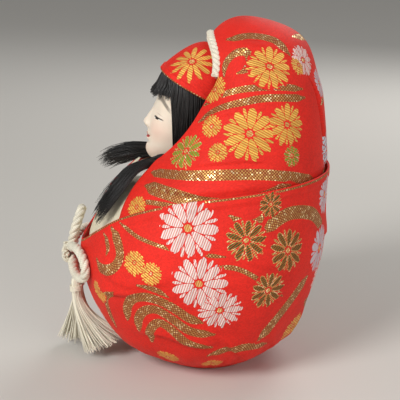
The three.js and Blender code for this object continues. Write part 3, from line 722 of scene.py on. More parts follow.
HOOD_STREAMS = [
    ("left", 1.5, [(-4.5, 108.5), (4, 114.8), (16.2, 118.3), (25.9, 119), (39, 117.6)]),
    ("left", 1.4, [(-2.5, 114.5), (3.5, 119), (11, 121.9), (20, 123), (30, 122.6), (38, 121)]),
    ("left", 2.1, [(-23, 88.5), (-8.8, 90.2), (6.5, 91.4), (21, 91), (34, 88.2), (44, 84)]),
    ("left", 2.6, [(-25, 84), (-14, 82.8), (-2, 80.8), (10, 80.4), (22, 82), (33, 85.4)]),
    ("left", 1.0, [(-31, 72), (-27, 78), (-16, 79), (-4, 77.6)]),
    ("left", 1.7, [
        (5.6, 126.1), (6.4, 130.9), (10, 134.8), (14.6, 135.7), (16.5, 133), (14.8, 129.4), (11, 127.8),
    ]),
    ("left", 1.9, [(7, 139.8), (16.8, 141.6), (26.7, 139.8), (33, 134)]),
    ("right", 1.8, [(-4, 111), (6, 116.5), (17, 119), (29, 117.5), (40, 113)]),
    ("right", 2.2, [(-24, 88), (-8, 91), (8, 91), (24, 91), (42, 86)]),
    ("right", 1.6, [(6, 125), (4.5, 132), (11, 137.5), (20, 138.5), (31, 132)]),
    ("right", 2.4, [(-27, 80), (-20, 83.4), (-6, 81.5), (14, 81.5), (32, 85)]),
    ("right", 1.5, [(-12, 103), (-3, 99), (8, 97.5), (18, 98.5)]),
    ("back", 1.8, [(-17, 137), (-4, 138.5), (12, 140.5)]),
    ("back", 2.0, [(-16, 113), (-9, 117), (2, 118), (14, 113)]),
    ("back", 2.2, [(-14, 87), (-4, 89.5), (4, 86), (14, 84.5)]),
]
ROBE_STREAMS = [
    ("left", 2.2, [(-37.7, 66.2), (-35, 60.7), (-34.6, 55.7), (-37.7, 50.8), (-42.6, 49.4), (-44.9, 52)]),
    ("left", 1.2, [(-41.2, 63), (-39.6, 58.4), (-40.4, 55)]),
    ("left", 0.8, [(-34.3, 69), (-27.6, 65.7), (-20.4, 64), (-12.6, 62.7), (-3.8, 61.7), (7.3, 60.6)]),
    ("left", 1.0, [(3.1, 57.1), (10.4, 56), (16.3, 52.9), (22.3, 47.7), (30, 40)]),
    ("left", 2.7, [(21, 69), (27.9, 73.5), (34.1, 74.5), (41.9, 71.1), (47.5, 62)]),
    ("left", 2.1, [
        (-32.1, 28.6), (-31.8, 36.2), (-28.7, 40.9), (-22.6, 42.2), (-14.7, 39.7), (-6.9, 34.5), (-1, 32.7),
    ]),
    ("left", 2.0, [
        (-27.3, 24.5), (-27.4, 31.2), (-24.8, 35.7), (-19.9, 37.1), (-14, 33.8), (-6.9, 28.7), (2.9, 26.5),
    ]),
    ("left", 1.9, [(-22.4, 19.4), (-22.6, 26.7), (-19.2, 31.2), (-14.1, 28.9), (-7.8, 23.3), (2, 19.5)]),
    ("left", 1.6, [(-37, 22), (-40, 30), (-41, 37), (-36, 42)]),
    ("left", 2.8, [(41, 45), (35, 38), (28, 30), (20, 21)]),
    ("left", 1.9, [(0, 15), (12, 19), (24, 17)]),
    ("left", 1.3, [(-27, 47.5), (-20, 46), (-15, 43.5)]),
    ("left", 1.6, [(8, 76.5), (14, 73), (19, 73.5), (22, 77)]),
    ("right", 1.9, [(-38, 66), (-31, 60), (-30, 51), (-38, 48), (-43, 53)]),
    ("right", 2.4, [(-28, 68), (-14, 72), (-9, 80)]),
    ("right", 2.3, [(16, 76), (26, 80), (38, 78), (46, 68)]),
    ("right", 2.1, [(-28, 29), (-20, 36), (-10, 41), (-4, 48)]),
    ("right", 2.0, [(-36, 24), (-27, 17), (-8, 13), (8, 16), (18, 14)]),
    ("right", 2.2, [(14, 37), (26, 40), (38, 36), (42, 44)]),
    ("right", 1.8, [(-48.5, 27), (-46, 32), (-41, 33), (-37, 29)]),
    ("back", 2.3, [(-24, 78), (-12, 81), (0, 79), (8, 72)]),
    ("back", 2.2, [(2, 51), (-6, 47), (-10, 39), (-2, 32), (8, 27), (20, 31)]),
    ("back", 2.0, [(-30, 62), (-27, 55), (-33, 50)]),
    ("back", 1.9, [(-26, 30), (-18, 33), (-8, 28)]),
]
# A thin gold band just under the robe's folded upper edge: a painted highlight along the fold
SEAM_HIGHLIGHT_HALF = 0.42
SEAM_HIGHLIGHT_DROP = 0.5

# A place inside the doll, from which the two sides of a band are told apart
MIDDLE = np.array([0.0, -2.0, 66.0])


def on_body(place, across, height):
    """Turn and level on the body of a place seen from the left, the right or behind."""
    if place == "back":
        return body.behind(across, height)
    return body.beside(1 if place == "left" else -1, across, height)


def flowers_on(skin, lift, listed):
    """Middle, two directions along the cloth, size and threads of each flower."""
    found = []
    for turn, t, radius, kind in listed:
        turn, t = np.asarray(turn, float), np.asarray(t, float)
        normal = skin.normal(turn, t)
        across = unit(np.cross([0, 0, 1], normal))
        found.append((skin.raised(turn, t, lift), across, np.cross(normal, across), radius, kind))
    return found


def body_flowers(listed):
    return [(*on_body(place, np.float64(across), np.float64(z)), radius, kind)
            for place, across, z, radius, kind in listed]


def body_streams(listed, lift):
    """Lines of points on the body, each with its half width."""
    found = []
    for place, half, points in listed:
        line = spline(points, 20 * len(points))
        turn, t = on_body(place, line[:, 0], line[:, 1])
        found.append((half, body.raised(turn, t, np.full(len(line), lift))))
    return found


def nearest(points, line):
    """Distance from points to a line, then the length along it, the length left, the side and the rise."""
    squares = (points**2).sum(1)[:, None] + (line**2).sum(1)[None] - 2 * points @ line.T
    k = squares.argmin(1)
    run = run_along(line)
    tangent = unit(np.gradient(line, axis=0))[k]
    away = points - line[k]
    step = run[-1] / len(line)
    back = np.where(k == 0, -BAND_REACH, -step)
    on = np.where(k == len(line) - 1, BAND_REACH, step)
    ahead = np.clip((away * tangent).sum(1), back, on)
    side = np.sign((np.cross(line[k] - MIDDLE, tangent) * away).sum(1))
    along = run[k] + ahead
    return np.linalg.norm(away - tangent * ahead[:, None], axis=1), along, run[-1] - along, side, away[:, 2]


def apart_and_past(found):
    """Distance beside a line and distance past its ends."""
    distance, along, left, _, _ = found
    return distance, np.maximum(0, -np.minimum(along, left))


def lay_brocade(points, corner, faces, flowers, streams):
    """UV maps and thread colours that lay each face's nearest flower and band on a cloth."""
    _, owner = corners_of(faces)
    starts = np.concatenate([[0], np.flatnonzero(np.diff(owner)) + 1])
    sizes = np.diff(np.append(starts, len(owner)))
    middle = np.add.reduceat(points[corner], starts) / sizes[:, None]

    centre, across, up = (np.array([flower[k] for flower in flowers]) for k in range(3))
    radius = np.array([flower[3] for flower in flowers])
    kinds = [FLOWER_THREADS[flower[4]] for flower in flowers]
    lean = np.radians([kind["lean"] for kind in kinds])
    colour = np.array([(*kind["colour"], kind["gilt"]) for kind in kinds])
    share = np.linalg.norm(middle[:, None] - centre[None], axis=2) / radius
    best = share.argmin(1)[owner]
    away = points[corner] - centre[best]
    a, b = (away * across[best]).sum(1), (away * up[best]).sum(1)
    stretch = np.linalg.norm(away, axis=1) / np.maximum(np.hypot(a, b), 1e-6)
    a, b = a * stretch, b * stretch
    flower = np.stack([a, b], 1) / radius[best][:, None]
    hatch = b * np.cos(lean[best]) - a * np.sin(lean[best])

    near = [nearest(points, line) for _, line in streams]
    half = np.array([width for width, _ in streams])
    middles = np.array([np.hypot(*apart_and_past(nearest(middle, line))) for _, line in streams])
    band = (middles / half[:, None]).argmin(0)[owner]
    distance, along, left, side = (np.array([found[k] for found in near])[band, corner] for k in range(4))
    apart = distance * side
    taper = np.minimum(BAND_TAPER, BAND_TAPER_SHARE * (along + left))
    ends = smooth(0, 1, along / taper) * smooth(0, 1, left / taper)
    inner = half[band] * (BAND_TIP + (1 - BAND_TIP) * ends)
    width = np.where(np.minimum(along, left) < -BAND_PAST, -1, inner)
    maps = {
        "flower": np.clip(flower, -FLOWER_REACH, FLOWER_REACH),
        "stream": np.stack([np.clip(apart, -BAND_REACH, BAND_REACH), along], 1),
        "thread": np.stack([hatch, width], 1),
    }
    return maps, colour[best]


def brocade_finish(name, ground, petals, tips=1):
    """Satin with flowers and bands woven in, from the maps that lay_brocade makes."""
    made = Finish(name)
    x, y = made.chart("flower")
    hatch, half = made.chart("thread")
    apart, along = made.chart("stream")
    u, v = made.chart("weave")
    tint = made.attribute("tint", "Color")
    kind = made.attribute("tint", "Alpha")

    row = (hatch / THREAD_PITCH).floor()
    stagger = made.chance(made.join(row, 3.0)) - 0.5
    r = (x * x + y * y).root() * (1 + stagger * STAGGER)
    sector = TAU / petals
    turned = y.angle(x) / sector
    large = ((turned + 0.5).part() - 0.5) * sector
    small = (turned.part() - 0.5) * sector

    def petal(angle, form, scale):
        start, length, width = form
        s = (r * angle.cosine() - start) / length
        edge = (s * (1 - s) * 4).root() * (s * 0.35 + 0.75) * (width * scale)
        return edge - (r * angle.sine()).size()

    slim = USUAL_PETALS / petals + tips * 0.11
    inside = petal(large, PETAL, slim).most(petal(small, SEPAL, tips)).most(FLOWER_EYE - r)
    covered = inside.more(0)
    ridge = 1 - ((hatch / THREAD_PITCH).part() * 2 - 1).size()
    thread = ridge.ramp(*THREAD_EDGE)
    flower = covered * (thread * 0.84 + 0.16)
    gilt = kind.more(0.75).most(kind.more(0.25) * inside.less(0.05) * thread) * covered

    band = apart.size().less(half) * r.more(FLOWER_CLEAR)
    one = (along + apart) / LATTICE
    other = (along - apart) / LATTICE
    dots = (one.part() - 0.5).size().less(DOT_HALF) * (other.part() - 0.5).size().less(DOT_HALF)
    # A random value for each gold dot: it sets the dot's strength, and its highest values paint the dot
    # whitish gold as a painted glint
    dot_tone_and_glint = made.chance(made.join(one.floor(), other.floor()))
    gold = band * dots * (dot_tone_and_glint * 0.6 + 0.5)

    twill = ((u + v) / TWILL).part()
    ribs = (v * (TAU / RIB)).sine()
    cloud = made.noise(made.place(), 60.0, 3.0)
    crease = made.noise(made.stretch(made.place(), (55, 55, 130)), 1.0, 3.0)
    fleck = made.chance(made.join((u / FLECK).floor(), (v / FLECK).floor()))
    shade = cloud * 0.5 + 0.66 + fleck * 0.2 + twill * 0.08 + ribs * 0.05
    red = made.tone((*ground,), shade)
    # Painted glints: the brightest dots are mixed towards whitish gold
    gold_and_glint = made.mix(dot_tone_and_glint.ramp(0.7, 1.0), GOLD, GLINT_GOLD)
    under = made.mix(band * 0.8, red, BROWN)
    woven = made.mix(gold.least(1), under, gold_and_glint)
    silk = made.tone(tint, made.chance(made.join(row, 9.0)) * 0.3 + 0.8)
    rim = kind.more(0.25) * kind.less(0.75) * gilt
    rimmed = made.mix(rim.most(r.less(GOLD_EYE)), silk, gold_and_glint)
    colour = made.mix(flower, woven, rimmed)

    metal = (gold.least(1) * (1 - covered) * 0.85).most(gilt * thread * 0.3)
    height = flower * (ridge * 0.7 + 0.4) + gold * 0.6 + ribs * 0.05 + twill * 0.12 + fleck * 0.08
    height = height + crease * 3.2
    return made.surface({
        "Base Color": colour,
        "Metallic": metal,
        "Roughness": 0.68 - metal * 0.35 - flower * 0.1,
        "Normal": made.bump(height, 0.22),
        "Sheen Weight": 0.1,
        "Sheen Roughness": 0.35,
        "Sheen Tint": linear(255, 120, 80),
        "Specular IOR Level": 0.28,
    })


# Folds: lines on the body where cloth is tucked, with the height and width of the roll above each

FOLD_EDGE = 0.7
FOLD_HEIGHT = 1.5
FOLD_END = 10
SWELL = 17
ROBE_FOLDS = [
    ("left", 1.3, 5.0, [(-50, 40.5), (-44.9, 39.6), (-39.3, 40.2), (-32.8, 41.6), (-22.5, 45.5)]),
    ("left", 0.7, 6.0, [(-46, 52), (-38, 47), (-28, 46.5), (-12, 51)]),
    ("left", 0.8, 5.0, [(-30, 23), (-18, 25), (-4, 21), (6, 23)]),
    ("left", 0.9, 4.0, [(4, 27), (8, 21), (13, 14), (18, 8)]),
    ("left", 0.7, 4.0, [(22, 24), (27, 16), (26, 9)]),
    ("left", 0.6, 6.0, [(10, 60), (24, 55), (38, 52)]),
    ("right", 1.2, 5.0, [(-50, 41), (-43, 41.5), (-33, 43), (-20, 48)]),
    ("right", 0.7, 6.0, [(-44, 53), (-32, 49), (-16, 51)]),
    ("right", 0.8, 4.5, [(-26, 22), (-14, 16), (-6, 8)]),
    ("right", 0.8, 4.0, [(8, 24), (16, 17), (18, 8)]),
    ("right", 0.6, 6.0, [(4, 58), (20, 60), (38, 55)]),
    ("back", 0.8, 4.5, [(-20, 26), (-14, 17), (-8, 8)]),
    ("back", 0.8, 4.5, [(6, 28), (12, 18), (10, 8)]),
    ("back", 0.6, 6.0, [(-34, 62), (-10, 56), (16, 58)]),
]
HOOD_FOLDS = [
    ("left", 0.8, 5.0, [(-26, 84.5), (-10, 84), (6, 83.2), (24, 84.5)]),
    ("left", 0.7, 5.0, [(-22, 92), (-4, 94.5), (12, 96.5), (26, 95)]),
    ("left", 0.6, 4.0, [(-6, 106), (6, 113), (18, 116)]),
    ("left", 0.6, 4.0, [(8, 125), (18, 127), (30, 122)]),
    ("left", 0.5, 3.5, [(8, 133.5), (16, 138), (26, 137)]),
    ("right", 0.8, 5.0, [(-26, 85), (-8, 86), (10, 84), (26, 85)]),
    ("right", 0.7, 5.0, [(-20, 96), (-2, 97), (14, 94)]),
    ("right", 0.6, 4.0, [(-4, 108), (8, 113), (24, 113)]),
    ("right", 0.5, 4.0, [(6, 130), (16, 134), (28, 130)]),
]


def fold_lift(points, folds, lift):
    """How far each point of a cloth rises over the tucks near it."""
    total = np.zeros(len(points))
    lines = body_streams([(place, height, line) for place, height, _, line in folds], lift)
    for (_, _, width, _), (height, line) in zip(folds, lines):
        distance, along, left, _, above = nearest(points, line)
        ends = smooth(0, FOLD_END, along) * smooth(0, FOLD_END, left)
        roll = np.where(above > 0, 1, np.exp(-((distance / FOLD_EDGE) ** 2)))
        total += FOLD_HEIGHT * height * ends * roll * np.exp(-((distance / width) ** 2))
    return total


def undulation(points, size):
    """A slow swell of the cloth, the same at each run."""
    x, y, z = (points / SWELL).T
    swell = np.sin(1.7 * x + 0.9 * z) + np.sin(1.3 * y - 1.9 * z + 1) + np.sin(2.3 * z + 1.1 * y + 0.7 * x)
    return size * (0.5 + swell / 6)


# Sizes and colours that a user would change

class DollColours(bpy.types.PropertyGroup):
    """Colours of the doll's threads, skins and hair"""

    red: FloatVectorProperty(
        name="Red", description="Satin ground of the brocade", subtype="COLOR",
        default=linear(216, 36, 24), min=0, max=1,
    )
    cream: FloatVectorProperty(
        name="Cream", description="Silk of the chest and the collars", subtype="COLOR",
        default=linear(226, 216, 188), min=0, max=1,
    )
    cord: FloatVectorProperty(
        name="Cord", description="Cords, knot and tassels", subtype="COLOR",
        default=linear(236, 229, 208), min=0, max=1,
    )
    skin: FloatVectorProperty(
        name="Face", description="Burnished shell paste of the head", subtype="COLOR",
        default=linear(240, 224, 204), min=0, max=1,
    )
    hair: FloatVectorProperty(
        name="Hair", description="Silk hair", subtype="COLOR",
        default=linear(24, 21, 20), min=0, max=1,
    )


class DollSizes(bpy.types.PropertyGroup):
    """Sizes of the doll's threads and of the picture"""

    cloth: FloatProperty(
        name="Cloth", description="Thickness of the lined brocade", default=CLOTH * MM, unit="LENGTH",
    )
    tassel_threads: IntProperty(
        name="Tassel Threads", description="Threads in one tassel", default=230, min=20, max=400,
    )
    hair_strands: IntProperty(
        name="Hair Strands", description="Strands combed over the head", default=1500, min=100, max=3000,
    )
    distance: FloatProperty(
        name="Camera Distance", description="From the doll to the camera", default=0.45, unit="LENGTH",
    )
    elevation: FloatProperty(
        name="Camera Elevation", description="Angle of the camera above the horizon",
        default=math.radians(15), subtype="ANGLE",
    )
    azimuth: FloatProperty(
        name="Camera Azimuth", description="Angle of the camera round the doll, from its front",
        default=math.radians(90), subtype="ANGLE",
    )


class DollOperator:
    """What the doll's operators share"""

    bl_options = {"REGISTER", "UNDO"}

    def execute(self, context):
        self.make(context.scene.doll_colours, context.scene.doll_sizes)
        return {"FINISHED"}


# Stage

VIEW_TARGET = (0, -3, 69)
FLOOR_HALF = 3.0
FLOOR_DROP = 0.05
FLOOR_RUN = (0.3, 1.2)
CLIP_NEAR = 0.01
STUDIO = (0.8, 0.8, 0.79)
WORLD_LIGHT = 0.27
BACKGROUND = linear(133, 131, 128)
# Floor colours by distance from the doll, darker near it and lighter far off: painted light and shade on the
# floor
FLOOR_SHADED_NEAR = linear(205, 201, 194)
FLOOR_LIT_FAR = linear(248, 244, 237)
LAMPS = {
    "key": {"at": (0.62, -0.5, 0.56), "size": 0.36, "power": 7.0},
    "fill": {"at": (0.7, 0.5, 0.3), "size": 0.6, "power": 2.5},
    "back": {"at": (-0.6, 0.35, 0.6), "size": 0.5, "power": 3.2},
}


class DOLL_OT_stage(DollOperator, bpy.types.Operator):
    """Camera at the photograph's angle, pale floor and soft lamps"""

    bl_idname = "doll.stage"
    bl_label = "Stage"

    def make(self, colours, sizes):
        scene = bpy.context.scene
        scene.view_settings.view_transform = "Standard"
        target = Vector(VIEW_TARGET) * MM
        flat = math.cos(sizes.elevation)
        aim = (math.sin(sizes.azimuth) * flat, -math.cos(sizes.azimuth) * flat, math.sin(sizes.elevation))
        lens = bpy.data.cameras.new("Camera")
        lens.sensor_width = SENSOR
        lens.lens = SENSOR * FOCAL_PIXELS / PICTURE
        lens.clip_start = CLIP_NEAR
        camera = bpy.data.objects.new("Camera", lens)
        camera.location = target + Vector(aim) * sizes.distance
        camera.rotation_euler = (-Vector(aim)).to_track_quat("-Z", "Y").to_euler()
        scene.collection.objects.link(camera)
        scene.camera = camera
        self.light(scene, target)
        self.floor()

    def light(self, scene, target):
        for name, lamp in LAMPS.items():
            light = bpy.data.lights.new(name, "AREA")
            light.shape = "DISK"
            light.size = lamp["size"]
            light.energy = lamp["power"]
            made = bpy.data.objects.new(name, light)
            made.location = lamp["at"]
            made.rotation_euler = (target - made.location).to_track_quat("-Z", "Y").to_euler()
            scene.collection.objects.link(made)
        world = bpy.data.worlds.new("Studio")
        world.use_nodes = True
        nodes, links = world.node_tree.nodes, world.node_tree.links
        studio = nodes["Background"]
        studio.inputs["Color"].default_value = (*STUDIO, 1)
        studio.inputs["Strength"].default_value = WORLD_LIGHT
        seen = nodes.new("ShaderNodeBackground")
        seen.inputs["Color"].default_value = (*BACKGROUND, 1)
        ray, either = nodes.new("ShaderNodeLightPath"), nodes.new("ShaderNodeMixShader")
        links.new(ray.outputs["Is Camera Ray"], either.inputs[0])
        links.new(studio.outputs[0], either.inputs[1])
        links.new(seen.outputs[0], either.inputs[2])
        links.new(either.outputs[0], nodes["World Output"].inputs["Surface"])
        scene.world = world

    def floor(self):
        made = Finish("pale_floor")
        x, y, _ = made.split(made.place())
        # Painted light and shade: the floor is darker near the doll and lighter farther away
        away = (x * x + y * y).root()
        pale = made.mix(away.ramp(*FLOOR_RUN), FLOOR_SHADED_NEAR, FLOOR_LIT_FAR)
        finish = made.surface({"Base Color": pale, "Roughness": 0.9})
        edge = FLOOR_HALF / MM
        steps = np.linspace(-edge, edge, 3)
        x, y = np.meshgrid(steps, steps)
        points = np.stack([x, y, np.full(x.shape, -FLOOR_DROP)], -1).reshape(-1, 3)
        piece("floor", points, grid(3, 3), finish)


# Cords, knot and tassels

FORWARD = np.array([0.0, -1.0, 0.0])
KNOT_POINTS = 460
KNOT_LAY = 9.0
KNOT_STRAND = 1.12
KNOT_SHADES = (0.0, -0.3, 0.2)
HEART_PITCH = 2.5
HEART_LONG = 4.4
HEART_SHORT = 3.4
HEART_WEAVE = 0.55
HEART_DOME = 1.2
HEART_SINK = 0.35
HEART_CORD = 1.22
HEART_LAY = 4.0
HEART_STRAND = 0.72
PLAIT_POINTS = 260
PLAIT_LAY = 9.0
PLAIT_WIDE = 1.25
PLAIT_DEEP = 0.75
PLAIT_STRAND = 0.95
PLAIT_SHADES = (0.0, 0.2, -0.2, 0.1)


def cord_finish(name, colour, rib):
    """Twisted rayon: fine ribs across each strand, and a soft gloss."""
    made = Finish(name)
    along = made.attribute("along")
    shade = made.attribute("shade")
    ribs = (along * (TAU / rib)).sine() * 0.5 + 0.5
    fibre = made.noise(made.place(), 900.0, 2.0)
    dirt = made.noise(made.place(), 90.0, 3.0)
    tone = ribs * 0.16 + fibre * 0.14 + dirt * 0.16 + 0.66 + shade * 0.16
    return made.surface({
        "Base Color": made.tone((*colour,), tone),
        "Roughness": 0.48 + fibre * 0.1,
        "Normal": made.bump(ribs + fibre * 0.4, 0.12),
        "Sheen Weight": 0.15,
        "Sheen Roughness": 0.4,
    })


def twisted(route, up, strands, lay, strand_radius, reach):
    """Helical strands of a cord along a route."""
    side, out = frames_along(route, up)
    run = run_along(route)
    lines = []
    for k in range(strands):
        angle = (run / lay + k / strands) * TAU
        around = side * np.cos(angle)[:, None] + out * np.sin(angle)[:, None]
        lines.append(route + around * (reach - strand_radius))
    return lines


def knot_route():
    """Tail, left loop, upper loop, right loop and tail, in one cord."""
    low = (-KNOT_TAIL - KNOT_WAIST) / 2
    tail = [(TAIL_SPREAD, -KNOT_TAIL), (TAIL_SPREAD, low)]
    leaf = TAU / LEAVES
    share = np.linspace(0, 1, (LEAVES - 1) * LEAF_STEPS + 1)
    turn = math.pi + leaf / 2 - (LEAVES - 1) * leaf * share
    far = TOP_LOOP + (SIDE_LOOP - TOP_LOOP) * np.cos(turn) ** 2
    reach = KNOT_WAIST + (far - KNOT_WAIST) * (1 + np.cos(LEAVES * turn)) / 2
    angle = turn + LOOP_SPREAD * np.sin(LEAVES * turn)
    places = [(-u, v) for u, v in tail]
    places += list(zip(reach * np.cos(angle), reach * np.sin(angle)))
    places += tail[::-1]
    u, v = np.array(places, float).T
    return knot_point(u, v)


class DOLL_OT_cords(DollOperator, bpy.types.Operator):
    """Tied cord with its woven heart, and the plaited cord over the cap"""

    bl_idname = "doll.cords"
    bl_label = "Cords"

    def make(self, colours, sizes):
        finish = cord_finish("cream_cord", colours.cord, 0.62)
        self.knot(finish)
        self.heart(finish)
        self.head_cord(finish)

    def knot(self, finish):
        route = spline(knot_route(), KNOT_POINTS)
        outward = body.normal(np.arctan2(route[:, 0], -route[:, 1]), body.level(route[:, 2]))
        lines = twisted(route, outward, len(KNOT_SHADES), KNOT_LAY, KNOT_STRAND, KNOT_CORD / 2)
        made = threads("knot_cord_strands", lines, KNOT_STRAND, 10, finish, shades=KNOT_SHADES)
        settle(made, "doll", "cream_cord", "knot_cord")

    def heart(self, finish):
        """Cords that pass over and under each other in front of the crossing."""
        front = knot_point(0.0, 0.0) + FORWARD * KNOT_LIFT
        reach = np.linspace(-1, 1, 41)
        strands = []
        for slant in (1, -1):
            for row in (-1, 0, 1):
                along = reach * (HEART_SHORT if row else HEART_LONG)
                beside = row * HEART_PITCH
                u = (along * slant - beside) / math.sqrt(2)
                v = (along + beside * slant) / math.sqrt(2)
                weave = HEART_WEAVE * slant * np.cos(math.pi * along / HEART_PITCH) * (-1) ** row
                dome = HEART_DOME * (1 - (u * u + v * v) / HEART_RADIUS**2) - HEART_SINK
                line = np.stack([u, front[1] - dome - weave, front[2] + v], 1)
                strands += twisted(line, FORWARD, 2, HEART_LAY, HEART_STRAND, HEART_CORD)
        made = threads("knot_heart_weave", strands, HEART_STRAND, 8, finish)
        settle(made, "doll", "cream_cord", "knot_heart")

    def head_cord(self, finish):
        inset = HEAD_CORD / 2 + CLEARANCE
        turn = np.radians(np.linspace(-HEAD_CORD_TURN, HEAD_CORD_TURN, PLAIT_POINTS))
        x = (ARCH_HALF - inset) * np.sin(turn)
        z = ARCH_CENTRE + (ARCH_TOP - inset - ARCH_CENTRE) * np.cos(turn)
        y = body.over(x, z, HOOD_OUTSIDE)[:, 1]
        route = np.stack([x, y, z], 1)
        side, out = frames_along(route, FORWARD)
        run = run_along(route)
        lines = []
        for k in range(len(PLAIT_SHADES)):
            angle = (run / PLAIT_LAY + k / len(PLAIT_SHADES)) * TAU
            wide = side * (PLAIT_WIDE * np.sin(angle))[:, None]
            deep = out * (PLAIT_DEEP * np.sin(2 * angle))[:, None]
            lines.append(route + (wide + deep))
        made = threads("head_cord_plait", lines, PLAIT_STRAND, 10, finish, shades=PLAIT_SHADES)
        settle(made, "doll", "cream_cord", "head_cord")


def thread_finish(name, colour):
    """Glossy rayon threads, each a little lighter or darker than the next."""
    made = Finish(name)
    shade = made.attribute("shade")
    along = made.attribute("along")
    fibre = made.noise(made.stretch(made.place(), (900, 900, 120)), 1.0, 2.0)
    tone = shade * 0.22 + 0.86 + fibre * 0.14 - along.ramp(0, 40) * 0.04
    return made.surface({
        "Base Color": made.tone((*colour,), tone),
        "Roughness": 0.36 + fibre * 0.12,
        "Normal": made.bump(fibre, 0.05),
        "Sheen Weight": 0.1,
    })


TASSEL_SEED = 40
TASSEL_THREAD = 0.26
TASSEL_TAPER = ([0, 0.9, 1], [1, 1, 0.55])
BALL_RISE = (84, 60, 30, 0)
STRAY = 0.55
STRAY_SHARE = 0.93
BINDING_TURNS = 4
BINDING_STEPS = 24
BINDING_PITCH = 0.66
BINDING_RADIUS = 2.55
BINDING_TOP = 1.7
BINDING_THREAD = 0.36


class DOLL_OT_tassels(DollOperator, bpy.types.Operator):
    """Two fans of loose threads with bound heads, on their own bodies"""

    bl_idname = "doll.tassels"
    bl_label = "Tassels"

    def make(self, colours, sizes):
        finish = thread_finish("tassel_thread", colours.cord)
        for seed, (name, form) in enumerate(TASSELS.items()):
            draw = np.random.default_rng(TASSEL_SEED + seed)
            pivot = tassel_pivot(form["side"])
            lines = [self.thread(draw, pivot, form) for _ in range(sizes.tassel_threads)]
            tapers = [np.interp(np.linspace(0, 1, len(line)), *TASSEL_TAPER) for line in lines]
            shades = draw.uniform(-1, 0.6, len(lines))
            made = threads(f"tassel_{name}_threads", lines, TASSEL_THREAD, 5, finish, tapers, shades)
            settle(made, f"{name}_tassel", "tassel_thread", f"tassel_{name}")
            self.bind(name, pivot, finish)

    def thread(self, draw, pivot, form):
        """One thread over the ball, through the binding and down into the fan."""
        turn = draw.uniform(0, TAU)
        spread = math.sqrt(draw.uniform(0.02, 1))
        length = (pivot[2] - TASSEL_FLOOR) * draw.uniform(0.9, 1.0)
        rise = np.radians(BALL_RISE)
        ball = TASSEL_NECK * (0.75 + 0.25 * spread)
        level = ball * np.cos(rise)
        head = np.stack([level * math.cos(turn), -level * math.sin(turn), ball * np.sin(rise)], 1)
        along = np.linspace(0.1, 1, 13)
        flare = np.maximum(0, (along - TASSEL_STRAIGHT) / (1 - TASSEL_STRAIGHT)) ** TASSEL_CURVE
        wide = TASSEL_NECK + (form["wide"] - TASSEL_NECK) * flare
        deep = TASSEL_NECK + (form["deep"] - TASSEL_NECK) * flare
        stray = draw.normal(0, STRAY, 2) * (1 + 1.8 * (draw.uniform() > STRAY_SHARE))
        bend = draw.normal(0, 0.5, 2)
        swing = np.sin(along * draw.uniform(3, 6) + draw.uniform(0, TAU))
        x = form["side"] * form["aside"] * flare + spread * wide * math.cos(turn)
        y = form["back"] * flare - spread * deep * math.sin(turn)
        x = x + flare * (stray[0] * 1.2 + bend[0] * swing)
        y = y + flare * (stray[1] * 1.2 + bend[1] * swing)
        fall = np.sqrt(np.maximum((length * along) ** 2 - x * x - y * y, 1))
        return np.vstack([head, np.stack([x, y, -fall], 1)]) + pivot

    def bind(self, name, pivot, finish):
        """Turns of thread round the tassel's neck."""
        angle = np.linspace(0, BINDING_TURNS * TAU, BINDING_TURNS * BINDING_STEPS)
        x, y = BINDING_RADIUS * np.cos(angle), BINDING_RADIUS * np.sin(angle)
        z = -BINDING_TOP - BINDING_PITCH * angle / TAU
        line = np.stack([x, y, z], 1) + pivot
        made = threads(f"tassel_{name}_binding", [line], BINDING_THREAD, 8, finish)
        settle(made, f"{name}_tassel", "tassel_thread", f"tassel_binding_{name}")


# Robe and hood

ROBE_COLUMNS = 289
ROBE_ROWS = 100
ROBE_TOP_LEVEL = 4.5
ROBE_SWELL = 0.4
HEM_RINGS = (HEM_RADIUS, 17.6, 19)
HEM_ROLL = ((0.3, -0.1), (0.45, -0.4))
HEM_CALM = (0, 8)
KNOT_CALM = (26, 34)
KNOT_CALM_BACK = -20
FOLD_STEP = 0.4
GATHER_RISE = (0, 16)
GATHER_FALL = (16, 46)
FINE_GATHER = 0.5
FINE_RISE = (0, 4)
FINE_FALL = (5, 24)


def gathers(turn, height):
    """Folds drawn in round the base, and finer pleats close to the hem."""
    fade = plateau(height, GATHER_RISE, GATHER_FALL)
    broad = GATHER_LIFT * fade * (0.5 + 0.5 * np.cos(GATHERS * turn))
    close = plateau(height, FINE_RISE, FINE_FALL)
    return broad + FINE_GATHER * close * np.abs(np.sin(2 * GATHERS * turn + 0.8 * np.sin(3 * turn)))


def cloth_piece(name, points, laid, columns, finish, flowers, streams):
    """A brocade sheet from a grid of points, with the pattern that it had as laid, before its folds."""
    rows = len(points) // columns
    net = points.reshape(rows, columns, 3)
    steps = np.linalg.norm(np.diff(net, axis=0), axis=2)
    up = np.vstack([np.zeros(columns), np.cumsum(steps, axis=0)])
    widths = np.linalg.norm(np.diff(net, axis=1), axis=2).mean(0)
    across = np.broadcast_to(np.concatenate([[0], np.cumsum(widths)]), (rows, columns))
    weave = np.stack([across, up], -1).reshape(-1, 2)
    points, faces, source = welded(points, grid(rows, columns))
    maps, tints = lay_brocade(laid, source, faces, flowers, streams)
    return piece(name, points, faces, finish, {"weave": weave[source], **maps}, tints)


